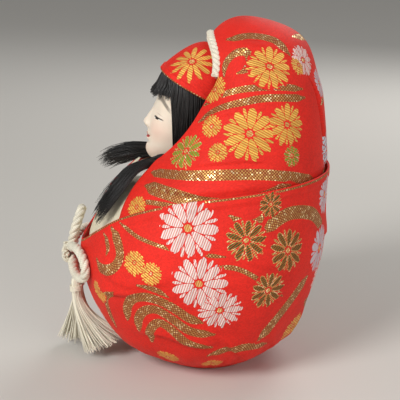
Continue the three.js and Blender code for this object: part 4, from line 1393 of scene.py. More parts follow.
class DOLL_OT_robe(DollOperator, bpy.types.Operator):
    """Lower wrap of brocade with a folded upper edge, gathered under the base"""

    bl_idname = "doll.robe"
    bl_label = "Robe"

    def make(self, colours, sizes):
        turn = np.linspace(0, TAU, ROBE_COLUMNS)
        top = self.edge(turn)
        t = np.linspace(0, 1, ROBE_ROWS)[:, None] * top
        across = np.broadcast_to(turn, t.shape)
        skin = body.point(across, t)
        normal = body.normal(across, t)
        flat = skin.reshape(-1, 3)
        soft = (fold_lift(flat, ROBE_FOLDS, 0) + undulation(flat, ROBE_SWELL)).reshape(t.shape)
        x, y, z = np.moveaxis(skin, -1, 0)
        at_knot = (1 - smooth(*KNOT_CALM, np.abs(x))) * (y < KNOT_CALM_BACK)
        soft = soft * (1 - at_knot) * smooth(*HEM_CALM, z)
        below = seam_height(y) - z
        fold = SEAM_LIFT * (1 - smooth(SEAM_FOLD - FOLD_STEP, SEAM_FOLD + FOLD_STEP, below))
        lift = gathers(across, z) + soft + fold
        rows = list(skin + normal * lift[..., None])
        hem = [ring(turn, radius, 0.0) for radius in HEM_RINGS]
        climb = unit(rows[-1] - rows[-2])
        roll = [rows[-1] + climb * rise + normal[-1] * sink for rise, sink in HEM_ROLL]
        points = np.array(hem + rows + roll).reshape(-1, 3)
        laid = np.array(hem + list(skin) + roll).reshape(-1, 3)
        # Painted highlight: a thin gold band just under the folded upper edge
        edge_highlight = skin[-1] - climb * SEAM_HIGHLIGHT_DROP
        streams = body_streams(ROBE_STREAMS, 0) + [(SEAM_HIGHLIGHT_HALF, edge_highlight)]
        flowers = flowers_on(body, 0, body_flowers(ROBE_FLOWERS))
        finish = brocade_finish("robe_brocade", colours.red, USUAL_PETALS)
        made = cloth_piece("robe_wrap", points, laid, len(turn), finish, flowers, streams)
        thicken(made, sizes.cloth / MM)
        settle(made, "doll", "red_brocade", "robe")

    def edge(self, turn):
        """Level of the robe's upper edge at each turn."""
        def over(t):
            place = body.point(turn, t)
            return place[:, 2] - seam_height(place[:, 1])
        return crossing(over, np.zeros(turn.shape), ROBE_TOP_LEVEL)


PLEAT_FADE = (116, 127)
PLEAT_FOLD = [(0.6, -0.35), (1.0, -1.3), (1.7, -2.0), (2.0, -1.2), (2.2, 0.1), (2.9, 0.75)]
STRIP_EDGE = 3.4
STRIP_LIFT = 0.8
LINING_FROM = (84, 92)
LINING_RUN = (0.06, 0.16, 0.3, 0.48, 0.7, 1.0)
LINING_RETURN = (2.4, 5.0, 8.5)
LINING_LEAST = 2
RETURN_FROM = (85, 93)
PANEL_COLUMNS = 90
STRIP_COLUMNS = 44
LOW_ROWS = 84
ARCH_ROWS = 46
CROWN_ROWS = 16
HOOD_SWELL = 0.45
HOOD_CALM = (0.5, 4)
RIM_CALM = (0, 0.06)
PLEAT_LEAST_HALF = 20
BOTTOM_RANGE = (42.0, 90)


class DOLL_OT_hood(DollOperator, bpy.types.Operator):
    """Upper wrap of brocade over the head, turned in at the face and pleated behind"""

    bl_idname = "doll.hood"
    bl_label = "Hood"

    def make(self, colours, sizes):
        side = [(1 - f, f, 0, 0, 0) for f in np.linspace(0, 1, PANEL_COLUMNS)]
        side += [(0, 1, 0, slide, lift) for slide, lift in PLEAT_FOLD]
        strip = np.linspace(0, 1, STRIP_COLUMNS)
        behind = [(0, 1 - 2 * g, g, STRIP_EDGE * (1 - 2 * g), STRIP_LIFT) for g in strip]
        other = [(-rim, -pleat, 1, -slide, lift) for rim, pleat, _, slide, lift in side[::-1]]
        self.columns = np.array(side + behind + other, float).T
        bottom = self.bottom()
        share = np.linspace(0, 1, LOW_ROWS)[:, None]
        low = bottom + (ARCH_CENTRE - bottom) * share
        quarter = np.linspace(0, math.pi / 2, ARCH_ROWS)[1:]
        arch = ARCH_CENTRE + (ARCH_TOP - ARCH_CENTRE) * np.sin(quarter)
        crown = np.linspace(body.level(ARCH_TOP), body.last, CROWN_ROWS)[1:]
        height = np.vstack([low, np.repeat(arch[:, None], low.shape[1], 1)])
        level = np.vstack([body.level(height), np.repeat(crown[:, None], low.shape[1], 1)])
        points, laid, normal = self.sheet(level)
        left = self.lining(points[:, 0], normal[:, 0], level[:, 0], 1)
        right = self.lining(points[:, -1], normal[:, -1], level[:, -1], -1)
        whole = np.concatenate([left[:, ::-1], points, right], axis=1)
        laid = np.concatenate([left[:, ::-1], laid, right], axis=1).reshape(-1, 3)
        streams = body_streams(HOOD_STREAMS, HOOD_OUTSIDE)
        flowers = flowers_on(body, HOOD_OUTSIDE, body_flowers(HOOD_FLOWERS))
        finish = brocade_finish("hood_brocade", colours.red, USUAL_PETALS)
        made = cloth_piece("hood_wrap", whole.reshape(-1, 3), laid, whole.shape[1], finish, flowers, streams)
        thicken(made, sizes.cloth / MM)
        settle(made, "doll", "red_brocade", "hood")

    def turns(self, level):
        """The turn of every column at each level."""
        rim, pleat, whole, slide, _ = self.columns
        section = body.section(level)
        half = np.maximum(section[..., 4], 1e-6)
        height = section[..., 0]
        rim_turn = np.arcsin(np.clip(rim_half(height) / half, 0, 1)) * (height < ARCH_TOP)
        pleat_turn = math.pi - np.arcsin(np.clip(strip_half(height) / half, 0, 1))
        fade = 1 - smooth(*PLEAT_FADE, height)
        slid = slide * fade / np.maximum(half, PLEAT_LEAST_HALF)
        return rim * rim_turn + pleat * pleat_turn + whole * TAU + slid

    def bottom(self):
        """Height of the hood's lower edge, under the robe, in each column."""
        def over(height):
            level = body.level(height)
            return height - seam_height(body.point(self.turns(level), level)[..., 1]) + HOOD_HEM
        lowest, highest = BOTTOM_RANGE
        return crossing(over, np.full(self.columns.shape[1], lowest), highest)

    def sheet(self, level):
        turn = self.turns(level)
        skin = body.point(turn, level)
        normal = body.outward(turn, level)
        flat = skin.reshape(-1, 3)
        soft = fold_lift(flat, HOOD_FOLDS, HOOD_OUTSIDE) + undulation(flat, HOOD_SWELL)
        soft = soft.reshape(level.shape)
        clear = smooth(*HOOD_CALM, skin[..., 2] - seam_height(skin[..., 1]))
        ledge = (1 - smooth(*PLEAT_FADE, skin[..., 2])) * self.columns[4]
        rim = smooth(*RIM_CALM, np.minimum(turn, TAU - turn) / math.pi)
        lift = HOOD_OUTSIDE + clear * (ledge + soft * rim)
        return skin + normal * lift[..., None], skin + normal * HOOD_OUTSIDE, normal

    def lining(self, rim, normal, level, side):
        """The cloth's turned edge along the face opening, and its run back beside the head."""
        height = body.section(level)[..., 0]
        slope = (rim_half(height + NUDGE) - rim_half(height - NUDGE)) / (2 * NUDGE)
        rising = np.clip((height - ARCH_CENTRE) / (ARCH_TOP - ARCH_CENTRE), 0, 1)
        arch = np.stack([-np.sqrt(1 - rising**2), 0 * height, -rising], 1)
        beside = unit(np.stack([-np.ones(height.shape), 0 * height, slope], 1))
        inward = np.where(height[:, None] > ARCH_CENTRE, arch, beside) * [side, 1, 1]
        deep = smooth(*LINING_FROM, height)[:, None]
        depth = -FORWARD * np.maximum(LINING_BACK - rim[:, 1], LINING_LEAST)[:, None]
        forward = FORWARD * 0.35
        runs = [rim + inward * 0.35 + forward, rim + inward * 0.8 + forward * 0.2]
        runs += [rim + inward * 0.95 + depth * share for share in LINING_RUN]
        turned = smooth(*RETURN_FROM, height)[:, None]
        runs += [rim + inward * (1 + (reach - 1) * turned) + depth for reach in LINING_RETURN]
        under = rim + inward * 0.25 - normal * 0.8
        made = np.stack([under + (run - under) * deep for run in runs], 1)
        made[height > ARCH_TOP - NUDGE] = rim[height > ARCH_TOP - NUDGE][:, None]
        at_top = np.abs(height - ARCH_TOP) < NUDGE
        made[at_top] = np.stack(runs, 1)[at_top]
        return made


# Chest, collars and piping

COLLAR_LINE = [(-2.4, 71.4), (0, 73.7), (9, 81.8), (12, 85.2)]
COLLAR = (0.0, 3.2)
PIPING = (-1.5, -0.3)
COLLAR_POINTS = 60
COLLAR_CROSSING = 22
BAND_COLUMNS = 13
BAND_CLOTH = 0.25
CHEST_HALF = 40.8
CHEST_FROM = 43.5
CHEST_TO = 83.8
CHEST_GRID = (150, 90)
CHEST_CLOTH = 0.7
CHEST_BACK = 4
CHEST_PLEAT = 0.5
CHEST_PLEATS = 34
CHEST_FAN = 20
OPEN_HALF = (16, 24)
OPEN_RISE = (52, 58)
OPEN_FALL = (66, 72)


def silk_finish(name, colour, rib):
    """Plain silk with a fine rib and a soft sheen."""
    made = Finish(name)
    u, v = made.chart("weave")
    ribs = (u * (TAU / rib)).sine() * 0.5 + 0.5
    slub = made.noise(made.join(u * 0.25, v * 2.2), 1.0, 3.0)
    cloud = made.noise(made.place(), 70.0, 3.0)
    tone = ribs * 0.1 + slub * 0.16 + cloud * 0.16 + 0.78
    return made.surface({
        "Base Color": made.tone((*colour,), tone),
        "Roughness": 0.42 + slub * 0.16,
        "Normal": made.bump(ribs * 0.6 + slub * 0.8, 0.12),
        "Sheen Weight": 0.2,
        "Sheen Roughness": 0.35,
    })


def beside_line(line, distance):
    """A line drawn beside another one, to its left where the distance is positive."""
    along = unit(np.gradient(line, axis=0))
    return line + np.stack([-along[:, 1], along[:, 0]], 1) * distance


def silk_piece(name, points, flat, faces, finish):
    """A sheet of silk whose weave follows its flat pattern."""
    corner, _ = corners_of(faces)
    return piece(name, points.reshape(-1, 3), faces, finish, {"weave": flat.reshape(-1, 2)[corner]})


class DOLL_OT_chest(DollOperator, bpy.types.Operator):
    """Cream silk front with its crossed collars and red piping"""

    bl_idname = "doll.chest"
    bl_label = "Chest"

    def make(self, colours, sizes):
        cream = silk_finish("cream_silk", colours.cream, 0.7)
        red = silk_finish("red_silk", colours.red, 0.5)
        self.front(cream)
        self.band("collar_left_band", 1, COLLAR, 0.75, cream, "cream_silk", "collar_left")
        self.band("piping_left_band", 1, PIPING, 1.15, red, "red_silk", "piping_left")
        self.band("collar_right_band", -1, COLLAR, 0.7, cream, "cream_silk", "collar_right")
        self.band("piping_right_band", -1, PIPING, 1.1, red, "red_silk", "piping_right")

    def front(self, finish):
        columns, rows = CHEST_GRID
        across, up = np.linspace(-CHEST_HALF, CHEST_HALF, columns), np.linspace(CHEST_FROM, CHEST_TO, rows)
        x, z = np.meshgrid(across, up)
        fan = np.arctan2(x, z - CHEST_FAN)
        open_front = (1 - smooth(*OPEN_HALF, np.abs(x))) * plateau(z, OPEN_RISE, OPEN_FALL)
        lift = CHEST_OUTSIDE + open_front * CHEST_PLEAT * (0.5 + 0.5 * np.sin(fan * CHEST_PLEATS))
        points = body.over(x, z, lift)
        points[..., 1] = np.minimum(points[..., 1], CHEST_BACK)
        made = silk_piece("chest_silk", points, np.stack([x, z], -1), grid(*x.shape), finish)
        thicken(made, CHEST_CLOTH)
        settle(made, "doll", "cream_silk", "chest_cloth")

    def band(self, name, side, span, lift, finish, slot, node):
        line = spline(COLLAR_LINE, COLLAR_POINTS)
        first = 0 if side > 0 else COLLAR_CROSSING
        share = np.linspace(0, 1, BAND_COLUMNS)
        across = [beside_line(line, span[0] + (span[1] - span[0]) * s) for s in share]
        flat = np.array(across)[:, first:]
        flat[..., 0] *= side
        dome = (1 - (2 * share - 1) ** 4)[:, None] * lift
        points = body.over(flat[..., 0], flat[..., 1], COLLAR_UNDERSIDE + dome)
        made = silk_piece(name, points, flat, grid(*flat.shape[:2])[:, ::side], finish)
        thicken(made, BAND_CLOTH)
        settle(made, "doll", slot, node)


# Head, hair and cap

CAP_COLUMNS = 145
CAP_ROWS = 60
CAP_ROW_CURVE = 1.15
CAP_CLOTH = 0.8
CAP_PETALS = 12
CAP_PUCKER = 0.22
CAP_PUCKERS = 17
CAP_PUCKER_FROM = (1, 5)
CAP_ROLL = ((0.35, -0.8), (0.3, -0.3))
CAP_EDGE_HALF = 0.35
CAP_EDGE_DROP = 0.1
CAP_FLOWER_DROP = 3


def cap_rim_height(y):
    return CAP_RIM_AT[1] - CAP_RIM_SLOPE * (y - CAP_RIM_AT[0])


class DOLL_OT_cap(DollOperator, bpy.types.Operator):
    """Brocade cap with a folded rim"""

    bl_idname = "doll.cap"
    bl_label = "Cap"

    def make(self, colours, sizes):
        turn = np.linspace(0, TAU, CAP_COLUMNS)
        level = crossing(lambda t: self.above(turn, t), np.full(turn.shape, 1.0), skull.last)
        share = np.linspace(0, 1, CAP_ROWS)[:, None] ** CAP_ROW_CURVE
        t = level + (skull.last - level) * share
        across = np.broadcast_to(turn, t.shape)
        normal = skull.outward(across, t)
        skin = skull.point(across, t) + normal * CAP_OUTSIDE
        rise = np.linalg.norm(skin - skin[0], axis=2)
        rim = CAP_RIM_LIFT * (1 - smooth(CAP_RIM - 0.3, CAP_RIM + 0.25, rise))
        wave = np.sin(CAP_PUCKERS * across + 2 * np.sin(3 * across))
        pucker = CAP_PUCKER * wave * smooth(*CAP_PUCKER_FROM, rise) * (1 - share)
        rows = list(skin + normal * (rim + pucker)[..., None])
        down = unit(rows[0] - rows[1])
        roll = [rows[0] + down * drop + normal[0] * sink for drop, sink in CAP_ROLL]
        points = np.array(roll + rows).reshape(-1, 3)
        listed = [(*skull.beside(side, np.float64(y), np.float64(z - CAP_FLOWER_DROP)), radius, kind)
                  for side, y, z, radius, kind in CAP_FLOWERS]
        streams = [(CAP_EDGE_HALF, rows[0] + down * CAP_EDGE_DROP)]
        finish = brocade_finish("cap_brocade", colours.red, CAP_PETALS, 0)
        flowers = flowers_on(skull, CAP_OUTSIDE, listed)
        made = cloth_piece("cap_brocade_cap", points, points, len(turn), finish, flowers, streams)
        thicken(made, CAP_CLOTH)
        settle(made, "doll", "red_brocade", "cap")

    def above(self, turn, t):
        place = skull.raised(turn, t, np.full(turn.shape, CAP_OUTSIDE))
        return place[:, 2] - cap_rim_height(place[:, 1])


HEAD_COLUMNS = 221
HEAD_ROWS = 190
FACE_FRONT = (-0.2, 0.5)
NECK_MIDDLE = -8
NECK_RINGS = [(0.0, 84.3), (2.8, 84.3), (2.8, 76), (6.2, 76), (6.5, 76.4), (6.5, 81), (6.4, 85.2)]

# Modelled features on both halves of the face: rise, place as x and z, and half width as x and z
FACE_RELIEF = {
    "nose tip": (1.6, (0, 102.9), (2.6, 1.9)),
    "nose bridge": (1.3, (0, 105), (2.0, 3.6)),
    "nose wing": (0.7, (2.1, 102.8), (0.9, 1.1)),
    "upper lip": (0.6, (0, 98.7), (3.2, 0.9)),
    "lower lip": (0.65, (0, 96.9), (2.7, 0.95)),
    "parting": (-0.4, (0, 97.8), (3.4, 0.3)),
    "mouth corner": (-0.3, (3.8, 97.9), (0.9, 0.9)),
    "groove above": (-0.3, (0, 100.4), (0.7, 0.9)),
    "groove below": (-0.45, (0, 95.2), (3, 0.8)),
    "chin": (0.9, (0, 92), (4, 2.6)),
    "eye socket": (-0.7, (6.4, 108.6), (3.4, 2.2)),
    "eyelid": (0.35, (8.6, 106.4), (3.0, 1.1)),
    "cheek": (0.5, (8.5, 101), (4, 4)),
}

# Painted features
FACE_BACK = -8
BLUSH = linear(232, 150, 128)
LIP_RED = linear(186, 32, 30)
LIP_DARK = linear(96, 10, 14)
LIP_MIDDLE = 97.6
LIP_HALF = 3.5
LIP_DEEP = 1.35
EYE_WHITE = linear(236, 230, 220)
EYE_DARK = linear(24, 17, 15)
EYE_AT = (8.6, 106.5)
EYE_INNER = (5.7, 6.7)
EYE_OUTER = (11.7, 10.7)
EYE_OPEN = (6.4, 10.8)
EYE_DEEP = 0.8
IRIS_HEIGHT = 106.1
IRIS = 0.95
CREASE_RISE = 1.3
CREASE = linear(150, 110, 92)
BROW_AT = (6.5, 114.2)
BROW_INNER = (3.2, 5.5)
BROW_OUTER = (14.0, 11.5)
BROW = linear(62, 52, 46)


def bell(x, z, at, half):
    """A soft bump at a place of the face."""
    return np.exp(-(((x - at[0]) / half[0]) ** 2) - (((z - at[1]) / half[1]) ** 2))


class DOLL_OT_head(DollOperator, bpy.types.Operator):
    """Head of white shell paste with modelled nose, lips and lids, and painted features"""

    bl_idname = "doll.head"
    bl_label = "Head"

    def make(self, colours, sizes):
        turn = np.linspace(0, TAU, HEAD_COLUMNS)
        across, t = np.broadcast_arrays(turn, np.linspace(0, skull.last, HEAD_ROWS)[:, None])
        normal = skull.outward(across, t)
        skin = skull.point(across, t)
        front = smooth(*FACE_FRONT, np.cos(across))
        rows = list(skin + normal * (self.relief(skin) * front)[..., None])
        neck = [ring(turn, radius, height, NECK_MIDDLE) for radius, height in NECK_RINGS]
        points = np.array(neck + rows).reshape(-1, 3)
        points, faces, _ = welded(points, grid(len(points) // len(turn), len(turn)))
        made = piece("head_shell_paste", points, faces, self.finish(colours.skin))
        settle(made, "doll", "shell_white", "head")

    def relief(self, skin):
        """How far the modelled features rise off the skull."""
        x, z = np.abs(skin[..., 0]), skin[..., 2]
        return sum(rise * bell(x, z, at, half) for rise, at, half in FACE_RELIEF.values())

    def finish(self, colour):
        made = Finish("shell_paste")
        x, y, z = (value / MM for value in made.split(made.place()))
        x = x.size()
        facing = y.less(FACE_BACK)
        cloud = made.noise(made.place(), 120.0, 3.0)
        fine = made.noise(made.place(), 900.0, 2.0)
        base = made.mix(cloud, tuple(value * 0.93 for value in colour), tuple(colour))
        blush = x.spot(8.5, 7) * z.spot(100.5, 7.5) * 0.28 * facing
        base = made.mix(blush.most(z.spot(91, 5) * 0.16 * facing), base, BLUSH)
        bow = z - 0.55 * x.spot(1.2, 1.6)
        mouth = (bow - LIP_MIDDLE).size().less((1 - x / LIP_HALF).most(0).root() * LIP_DEEP) * facing
        base = made.mix(mouth * 0.92, base, LIP_RED)
        split = (z - 97.75 + x * 0.05).size().ramp(0.22, 0.05) * x.less(3.6) * facing
        base = made.mix(split * 0.8, base, LIP_DARK)

        outward = x - EYE_AT[0]
        lid = EYE_AT[1] - outward * 0.2 - outward * outward * 0.045
        inside_eye = x.ramp(*EYE_INNER) * x.ramp(*EYE_OUTER) * facing
        below = lid - z
        open_eye = below.more(0) * below.less(EYE_DEEP) * x.more(EYE_OPEN[0]) * x.less(EYE_OPEN[1]) * facing
        base = made.mix(open_eye * 0.7, base, EYE_WHITE)
        up = z - IRIS_HEIGHT
        iris = (outward * outward + up * up).root().less(IRIS) * open_eye
        lash = below.size().ramp(0.4, 0.12) * inside_eye
        crease = (z - lid - CREASE_RISE).size().ramp(0.3, 0.05) * x.spot(EYE_AT[0], 3.6) * 0.35 * facing
        dark = made.mix(iris.most(lash), base, EYE_DARK)
        dark = made.mix(crease, dark, CREASE)

        rise = (x - BROW_AT[0]).most(0)
        arch = BROW_AT[1] - rise * rise * 0.11
        hairs = made.noise(made.join(x * 3.0, z * 0.8), 1.4, 2.0)
        brow = (z - arch).size().ramp(1.25, 0.5) * x.ramp(*BROW_INNER) * x.ramp(*BROW_OUTER) * facing
        colour = made.mix(brow * (hairs * 0.4 + 0.5), dark, BROW)
        return made.surface({
            "Base Color": colour,
            "Roughness": 0.36 + cloud * 0.12,
            "Normal": made.bump(fine * 0.5 + cloud, 0.06),
            "Subsurface Weight": 0.06,
            "Subsurface Radius": (0.002, 0.001, 0.0006),
            "Subsurface Scale": 1.0,
            "Coat Weight": 0.12,
            "Coat Roughness": 0.35,
        })


def hair_finish(colour):
    """Combed silk: dark strands, with narrow highlights painted along them in the colour."""
    made = Finish("silk_hair")
    shade = made.attribute("shade")
    highlight_streak = made.noise(made.stretch(made.place(), (1500, 1500, 200)), 1.0, 2.0)
    # The stretched noise lightens the colour in streaks: painted highlights along the strands. It also
    # varies roughness and bump.
    tone = shade * 0.5 + highlight_streak * 0.8 + 0.5
    return made.surface({
        "Base Color": made.tone((*colour,), tone),
        "Roughness": 0.38 + highlight_streak * 0.16,
        "Normal": made.bump(highlight_streak, 0.06),
        "Specular IOR Level": 0.55,
    })


FACE_LINE = 115.5
HAIR_HEM = 90.2
HAIR_TOP = 128.0
CHEEK_LINE = -13.5
HAIR_SEED = 11
HAIR_STRAND = 0.2
HAIR_POINTS = 9
HAIR_TAPER = ([0, 0.7, 1], [1, 0.9, 0.3])
HAIR_SHADES = (-0.6, 1)
HAIR_TURN = 2.7
HAIR_LIFT = (1.9, 2.75)
HAIR_CEILING = 3.8
FRINGE_TURNS = (1.05, 0.62)
SHELL = 1.4
SIDE_GRID = (40, 90)
CROWN_GRID = (24, 121)


class DOLL_OT_hair(DollOperator, bpy.types.Operator):
    """Fringe and side hair, combed over a close cap of hair"""

    bl_idname = "doll.hair"
    bl_label = "Hair"

    def make(self, colours, sizes):
        finish = hair_finish(colours.hair)
        parts = [self.sides(finish), self.crown(finish)]
        draw = np.random.default_rng(HAIR_SEED)
        lines = list(self.strands(draw, sizes.hair_strands))
        tapers = [np.interp(np.linspace(0, 1, HAIR_POINTS), *HAIR_TAPER)] * len(lines)
        shades = draw.uniform(*HAIR_SHADES, len(lines))
        parts.append(threads("strands", lines, HAIR_STRAND, 4, finish, tapers, shades))
        made = joined("hair_silk", parts)
        settle(made, "doll", "black_hair", "hair")

    def cheek_turn(self, level):
        front = skull.section(level)[..., 2] - skull.section(level)[..., 1]
        return np.arccos(np.clip((HEAD_LEAN - CHEEK_LINE) / front, -1, 1))

    def sides(self, finish):
        rows, columns = SIDE_GRID
        level = np.linspace(skull.level(HAIR_HEM), skull.level(FACE_LINE), rows)[:, None]
        share = np.linspace(0, 1, columns)
        start = self.cheek_turn(level) + 0.04
        turn = start + (TAU - 2 * start) * share
        return self.shell("side_shell", turn, np.broadcast_to(level, turn.shape), finish)

    def crown(self, finish):
        rows, columns = CROWN_GRID
        level = np.linspace(skull.level(FACE_LINE), skull.level(HAIR_TOP), rows)[:, None]
        turn = np.broadcast_to(np.linspace(0, TAU, columns), CROWN_GRID)
        return self.shell("crown_shell", turn, np.broadcast_to(level, turn.shape), finish)

    def shell(self, name, turn, level, finish):
        points = skull.raised(turn, level, np.full(turn.shape, HAIR_MIDDLE + 0.35)).reshape(-1, 3)
        points, faces, _ = welded(points, grid(*turn.shape))
        made = piece(name, points, faces, finish)
        thicken(made, SHELL)
        return plain(made)

    def strands(self, draw, count):
        """Strands from under the cap's rim down to the fringe or beside the cheek."""
        turn = draw.uniform(-HAIR_TURN, HAIR_TURN, count)
        lift = draw.uniform(*HAIR_LIFT, (count, 1))
        rim = crossing(lambda t: self.under_rim(turn, t), np.full(count, 1.0), skull.last)[:, None]
        fringe = np.abs(turn) < np.where(draw.uniform(size=count) < 0.4, *FRINGE_TURNS)
        brow = FACE_LINE + draw.normal(-0.2, 0.7, count)
        hem = HAIR_HEM + draw.uniform(-0.5, 5, count)
        low = np.where(fringe, brow, hem)
        share = np.linspace(-0.12, 1, HAIR_POINTS)
        level = rim + (skull.level(low)[:, None] - rim) * share
        turns = turn[:, None] + draw.normal(0, 0.035, (count, 1)) * share
        least = self.cheek_turn(level) + 0.02
        beside = np.sign(turns) * np.maximum(np.abs(turns), least)
        turns = np.where(fringe[:, None], turns, beside)
        flick = draw.uniform(0, 1.3, (count, 1)) * np.maximum(share, 0) ** 3
        return skull.raised(turns, level, np.minimum(lift + flick, HAIR_CEILING))

    def under_rim(self, turn, t):
        place = skull.raised(turn, t, np.float64(CAP_OUTSIDE - 1))
        return place[..., 2] - cap_rim_height(place[..., 1])


LOCK_TOP = (12.4, -13.5, 89.7)
LOCK_LEFT = [(18.5, 87.5), (20.5, 80.4), (20.5, 73), (19.5, 66.5)]
LOCK_RIGHT = (-13.4, 86.6)
LOCK_RIGHT_FREE = [(-1.2, -4.5, -1.6), (-2.2, -9.5, -3.6), (-2.8, -14, -6.5)]
LOCK_HALF = [2.6, 3.4, 5.4, 7, 5.6]
LEFT_THICK = [1.6, 1.7, 1.8, 1.7, 1.4]
RIGHT_THICK = [1.8, 2.6, 3.6, 3.8, 3.0]
LOCK_STRANDS = 700
LOCK_STRAND = 0.13
LOCK_STEPS = 15
LOCK_POINTS = 12
LOCK_LEAST_STEPS = 5
LOCK_LIFTS = (0.6, 1.4)
LOCK_SEEDS = (21, 22)
LEFT_FACING = [(1, -0.2, 0), (0.25, -0.75, 0.6)]
RIGHT_FACING = [(-1, -0.2, 0), (-0.5, -0.3, 0.8)]


class DOLL_OT_locks(DollOperator, bpy.types.Operator):
    """Two locks of hair that fall forward from the cheeks"""

    bl_idname = "doll.locks"
    bl_label = "Locks"

    def make(self, colours, sizes):
        finish = bpy.data.materials["silk_hair"]
        left_lift, right_lift = LOCK_LIFTS
        left = [LOCK_TOP] + [body.over(*np.array(place), left_lift) for place in LOCK_LEFT]
        self.lock("hair_lock_left", left, LEFT_FACING, LEFT_THICK, finish, LOCK_SEEDS[0])
        lying = body.over(*np.array(LOCK_RIGHT), right_lift)
        right = [(-LOCK_TOP[0], *LOCK_TOP[1:]), lying] + [lying + np.array(step) for step in LOCK_RIGHT_FREE]
        self.lock("hair_lock_right", right, RIGHT_FACING, RIGHT_THICK, finish, LOCK_SEEDS[1])

    def lock(self, node, route, facing, depths, finish, seed):
        draw = np.random.default_rng(seed)
        steps = np.linspace(0, 1, LOCK_STEPS)
        line = spline(np.array(route), LOCK_STEPS)
        first, after = np.array(facing, float)
        side, out = frames_along(line, unit(first + (after - first) * smooth(0, 0.3, steps)[:, None]))
        knots = np.linspace(0, 1, len(LOCK_HALF))
        half, thick = np.interp(steps, knots, LOCK_HALF), np.interp(steps, knots, depths)
        share = np.linspace(0, 1, LOCK_POINTS)
        lines = []
        for _ in range(LOCK_STRANDS):
            a, b = draw.uniform(-1, 1), draw.uniform(-1, 1)
            wave = 0.25 * np.sin(steps * draw.uniform(4, 9) + draw.uniform(0, TAU)) * steps
            aside, outward = half * a + wave, thick * b * math.sqrt(1 - a * a)
            strand = line + side * aside[:, None] + out * outward[:, None]
            kept = max(LOCK_LEAST_STEPS, int(round(draw.uniform(0.6, 1.0) * LOCK_STEPS)))
            strand = spline(strand[:kept], LOCK_POINTS)
            stray = side * draw.normal(0, 0.9) + out * abs(draw.normal(0, 0.8))
            lines.append(strand + stray[-1] * (share**2)[:, None])
        tapers = [np.interp(share, *HAIR_TAPER)] * len(lines)
        shades = draw.uniform(*HAIR_SHADES, len(lines))
        made = threads(f"{node}_strands", lines, LOCK_STRAND, 4, finish, tapers, shades)
        settle(made, "doll", "black_hair", node)


# Base and filling

def cotton_finish():
    made = Finish("cotton_wadding")
    fibre = made.noise(made.place(), 700.0, 4.0)
    lump = made.noise(made.place(), 110.0, 3.0)
    base = made.mix(lump, linear(214, 208, 194), linear(240, 236, 226))
    return made.surface({
        "Base Color": base,
        "Roughness": 0.95,
        "Normal": made.bump(fibre + lump, 0.5),
        "Sheen Weight": 0.3,
    })


def rigid_finish(name, dark, light, scale, depth, roughness, stretch=(1, 1, 1)):
    """A dull solid with grain: papier-mache, card, clay, bamboo or thread."""
    made = Finish(name)
    place = made.stretch(made.place(), stretch)
    grain = made.noise(place, scale, 4.0)
    speck = made.noise(place, scale * 4, 2.0)
    return made.surface({
        "Base Color": made.mix(grain * 0.7 + speck * 0.3, dark, light),
        "Roughness": roughness + grain * 0.1,
        "Normal": made.bump(grain + speck * 0.5, depth),
    })


PADDING = {"body_wadding": 0.7, "hood_wadding": 0.7, "stuffing": 0.5}
COTTON_VOXEL = 1.3
COTTON_WELD = 0.01
COTTON_INSET = 0.25
COTTON_LUMP = 0.12

# Hidden hard pieces: finish, dark and light colour, grain, depth, roughness and stretch of the grain
HARD_PIECES = {
    "body_core": ("papier_mache", (150, 128, 96), (192, 172, 138), 260, 0.3, 0.82, (1, 1, 1)),
    "base_card": ("card", (160, 138, 104), (190, 168, 132), 420, 0.1, 0.85, (1, 1, 1)),
    "base_weight": ("clay", (112, 82, 58), (150, 116, 86), 180, 0.4, 0.88, (1, 1, 1)),
    "neck_peg": ("bamboo", (176, 136, 76), (216, 182, 116), 300, 0.15, 0.5, (1, 1, 0.06)),
    "gathering_thread": ("cotton_thread", (200, 190, 164), (232, 224, 202), 900, 0.1, 0.7, (1, 1, 1)),
    "knot_stitch": ("red_thread", (150, 22, 18), (206, 46, 34), 900, 0.1, 0.6, (1, 1, 1)),
}


class DOLL_OT_filling(DollOperator, bpy.types.Operator):
    """Cotton wadding and stuffing, and the finishes of the hidden hard pieces"""

    bl_idname = "doll.filling"
    bl_label = "Filling"

    def make(self, colours, sizes):
        cotton = cotton_finish()
        for node, fill in PADDING.items():
            made = self.cotton_copy(node, cotton)
            settle(made, "doll", "cotton", node)
        for node, (name, dark, light, *grain) in HARD_PIECES.items():
            finish = rigid_finish(name, linear(*dark), linear(*light), *grain)
            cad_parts[node].data.materials.clear()
            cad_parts[node].data.materials.append(finish)

    def cotton_copy(self, node, finish):
        """A lumpy copy of a wadding solid, drawn in a little from its neighbours."""
        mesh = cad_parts[node].data.copy()
        made = bpy.data.objects.new(f"{node}_cotton", mesh)
        bpy.context.scene.collection.objects.link(made)
        mesh.materials.clear()
        weld = made.modifiers.new("Weld", "WELD")
        weld.merge_threshold = COTTON_WELD * MM
        fine = made.modifiers.new("Remesh", "REMESH")
        fine.mode = "VOXEL"
        fine.voxel_size = COTTON_VOXEL * MM
        plain(made)
        count = len(made.data.vertices)
        place, normal = np.empty(count * 3, np.float32), np.empty(count * 3, np.float32)
        made.data.vertices.foreach_get("co", place)
        made.data.vertices.foreach_get("normal", normal)
        x, y, z = (place.reshape(-1, 3) / MM).T
        lump = np.sin(x / 2.1 + np.sin(y / 3)) * np.sin(y / 2.3 + 1) * np.sin(z / 1.9 + np.sin(x / 4))
        draw_in = (COTTON_INSET + COTTON_LUMP * lump) * MM
        made.data.vertices.foreach_set("co", place - normal * np.repeat(draw_in, 3).astype(np.float32))
        made.data.materials.append(finish)
        made.data.shade_smooth()
        return made


BASE_COLUMNS = 97
BASE_PROFILE = [
    (0.02, 0.0), (6, 0.0), (11, 0.0), (14.6, 0.0), (15.5, 0.1),
    (15.8, 0.35), (15.5, 0.65), (14, 0.75), (8, 0.75), (0.02, 0.75),
]
STITCHES = 40
STITCH_TURN = 0.07
STITCH_REACH = (15.2, 16.9)
STITCH_POINTS = 5
STITCH_THREAD = 0.14
STITCH_HEIGHT = 0.13
STITCH_ENDS = 0.3


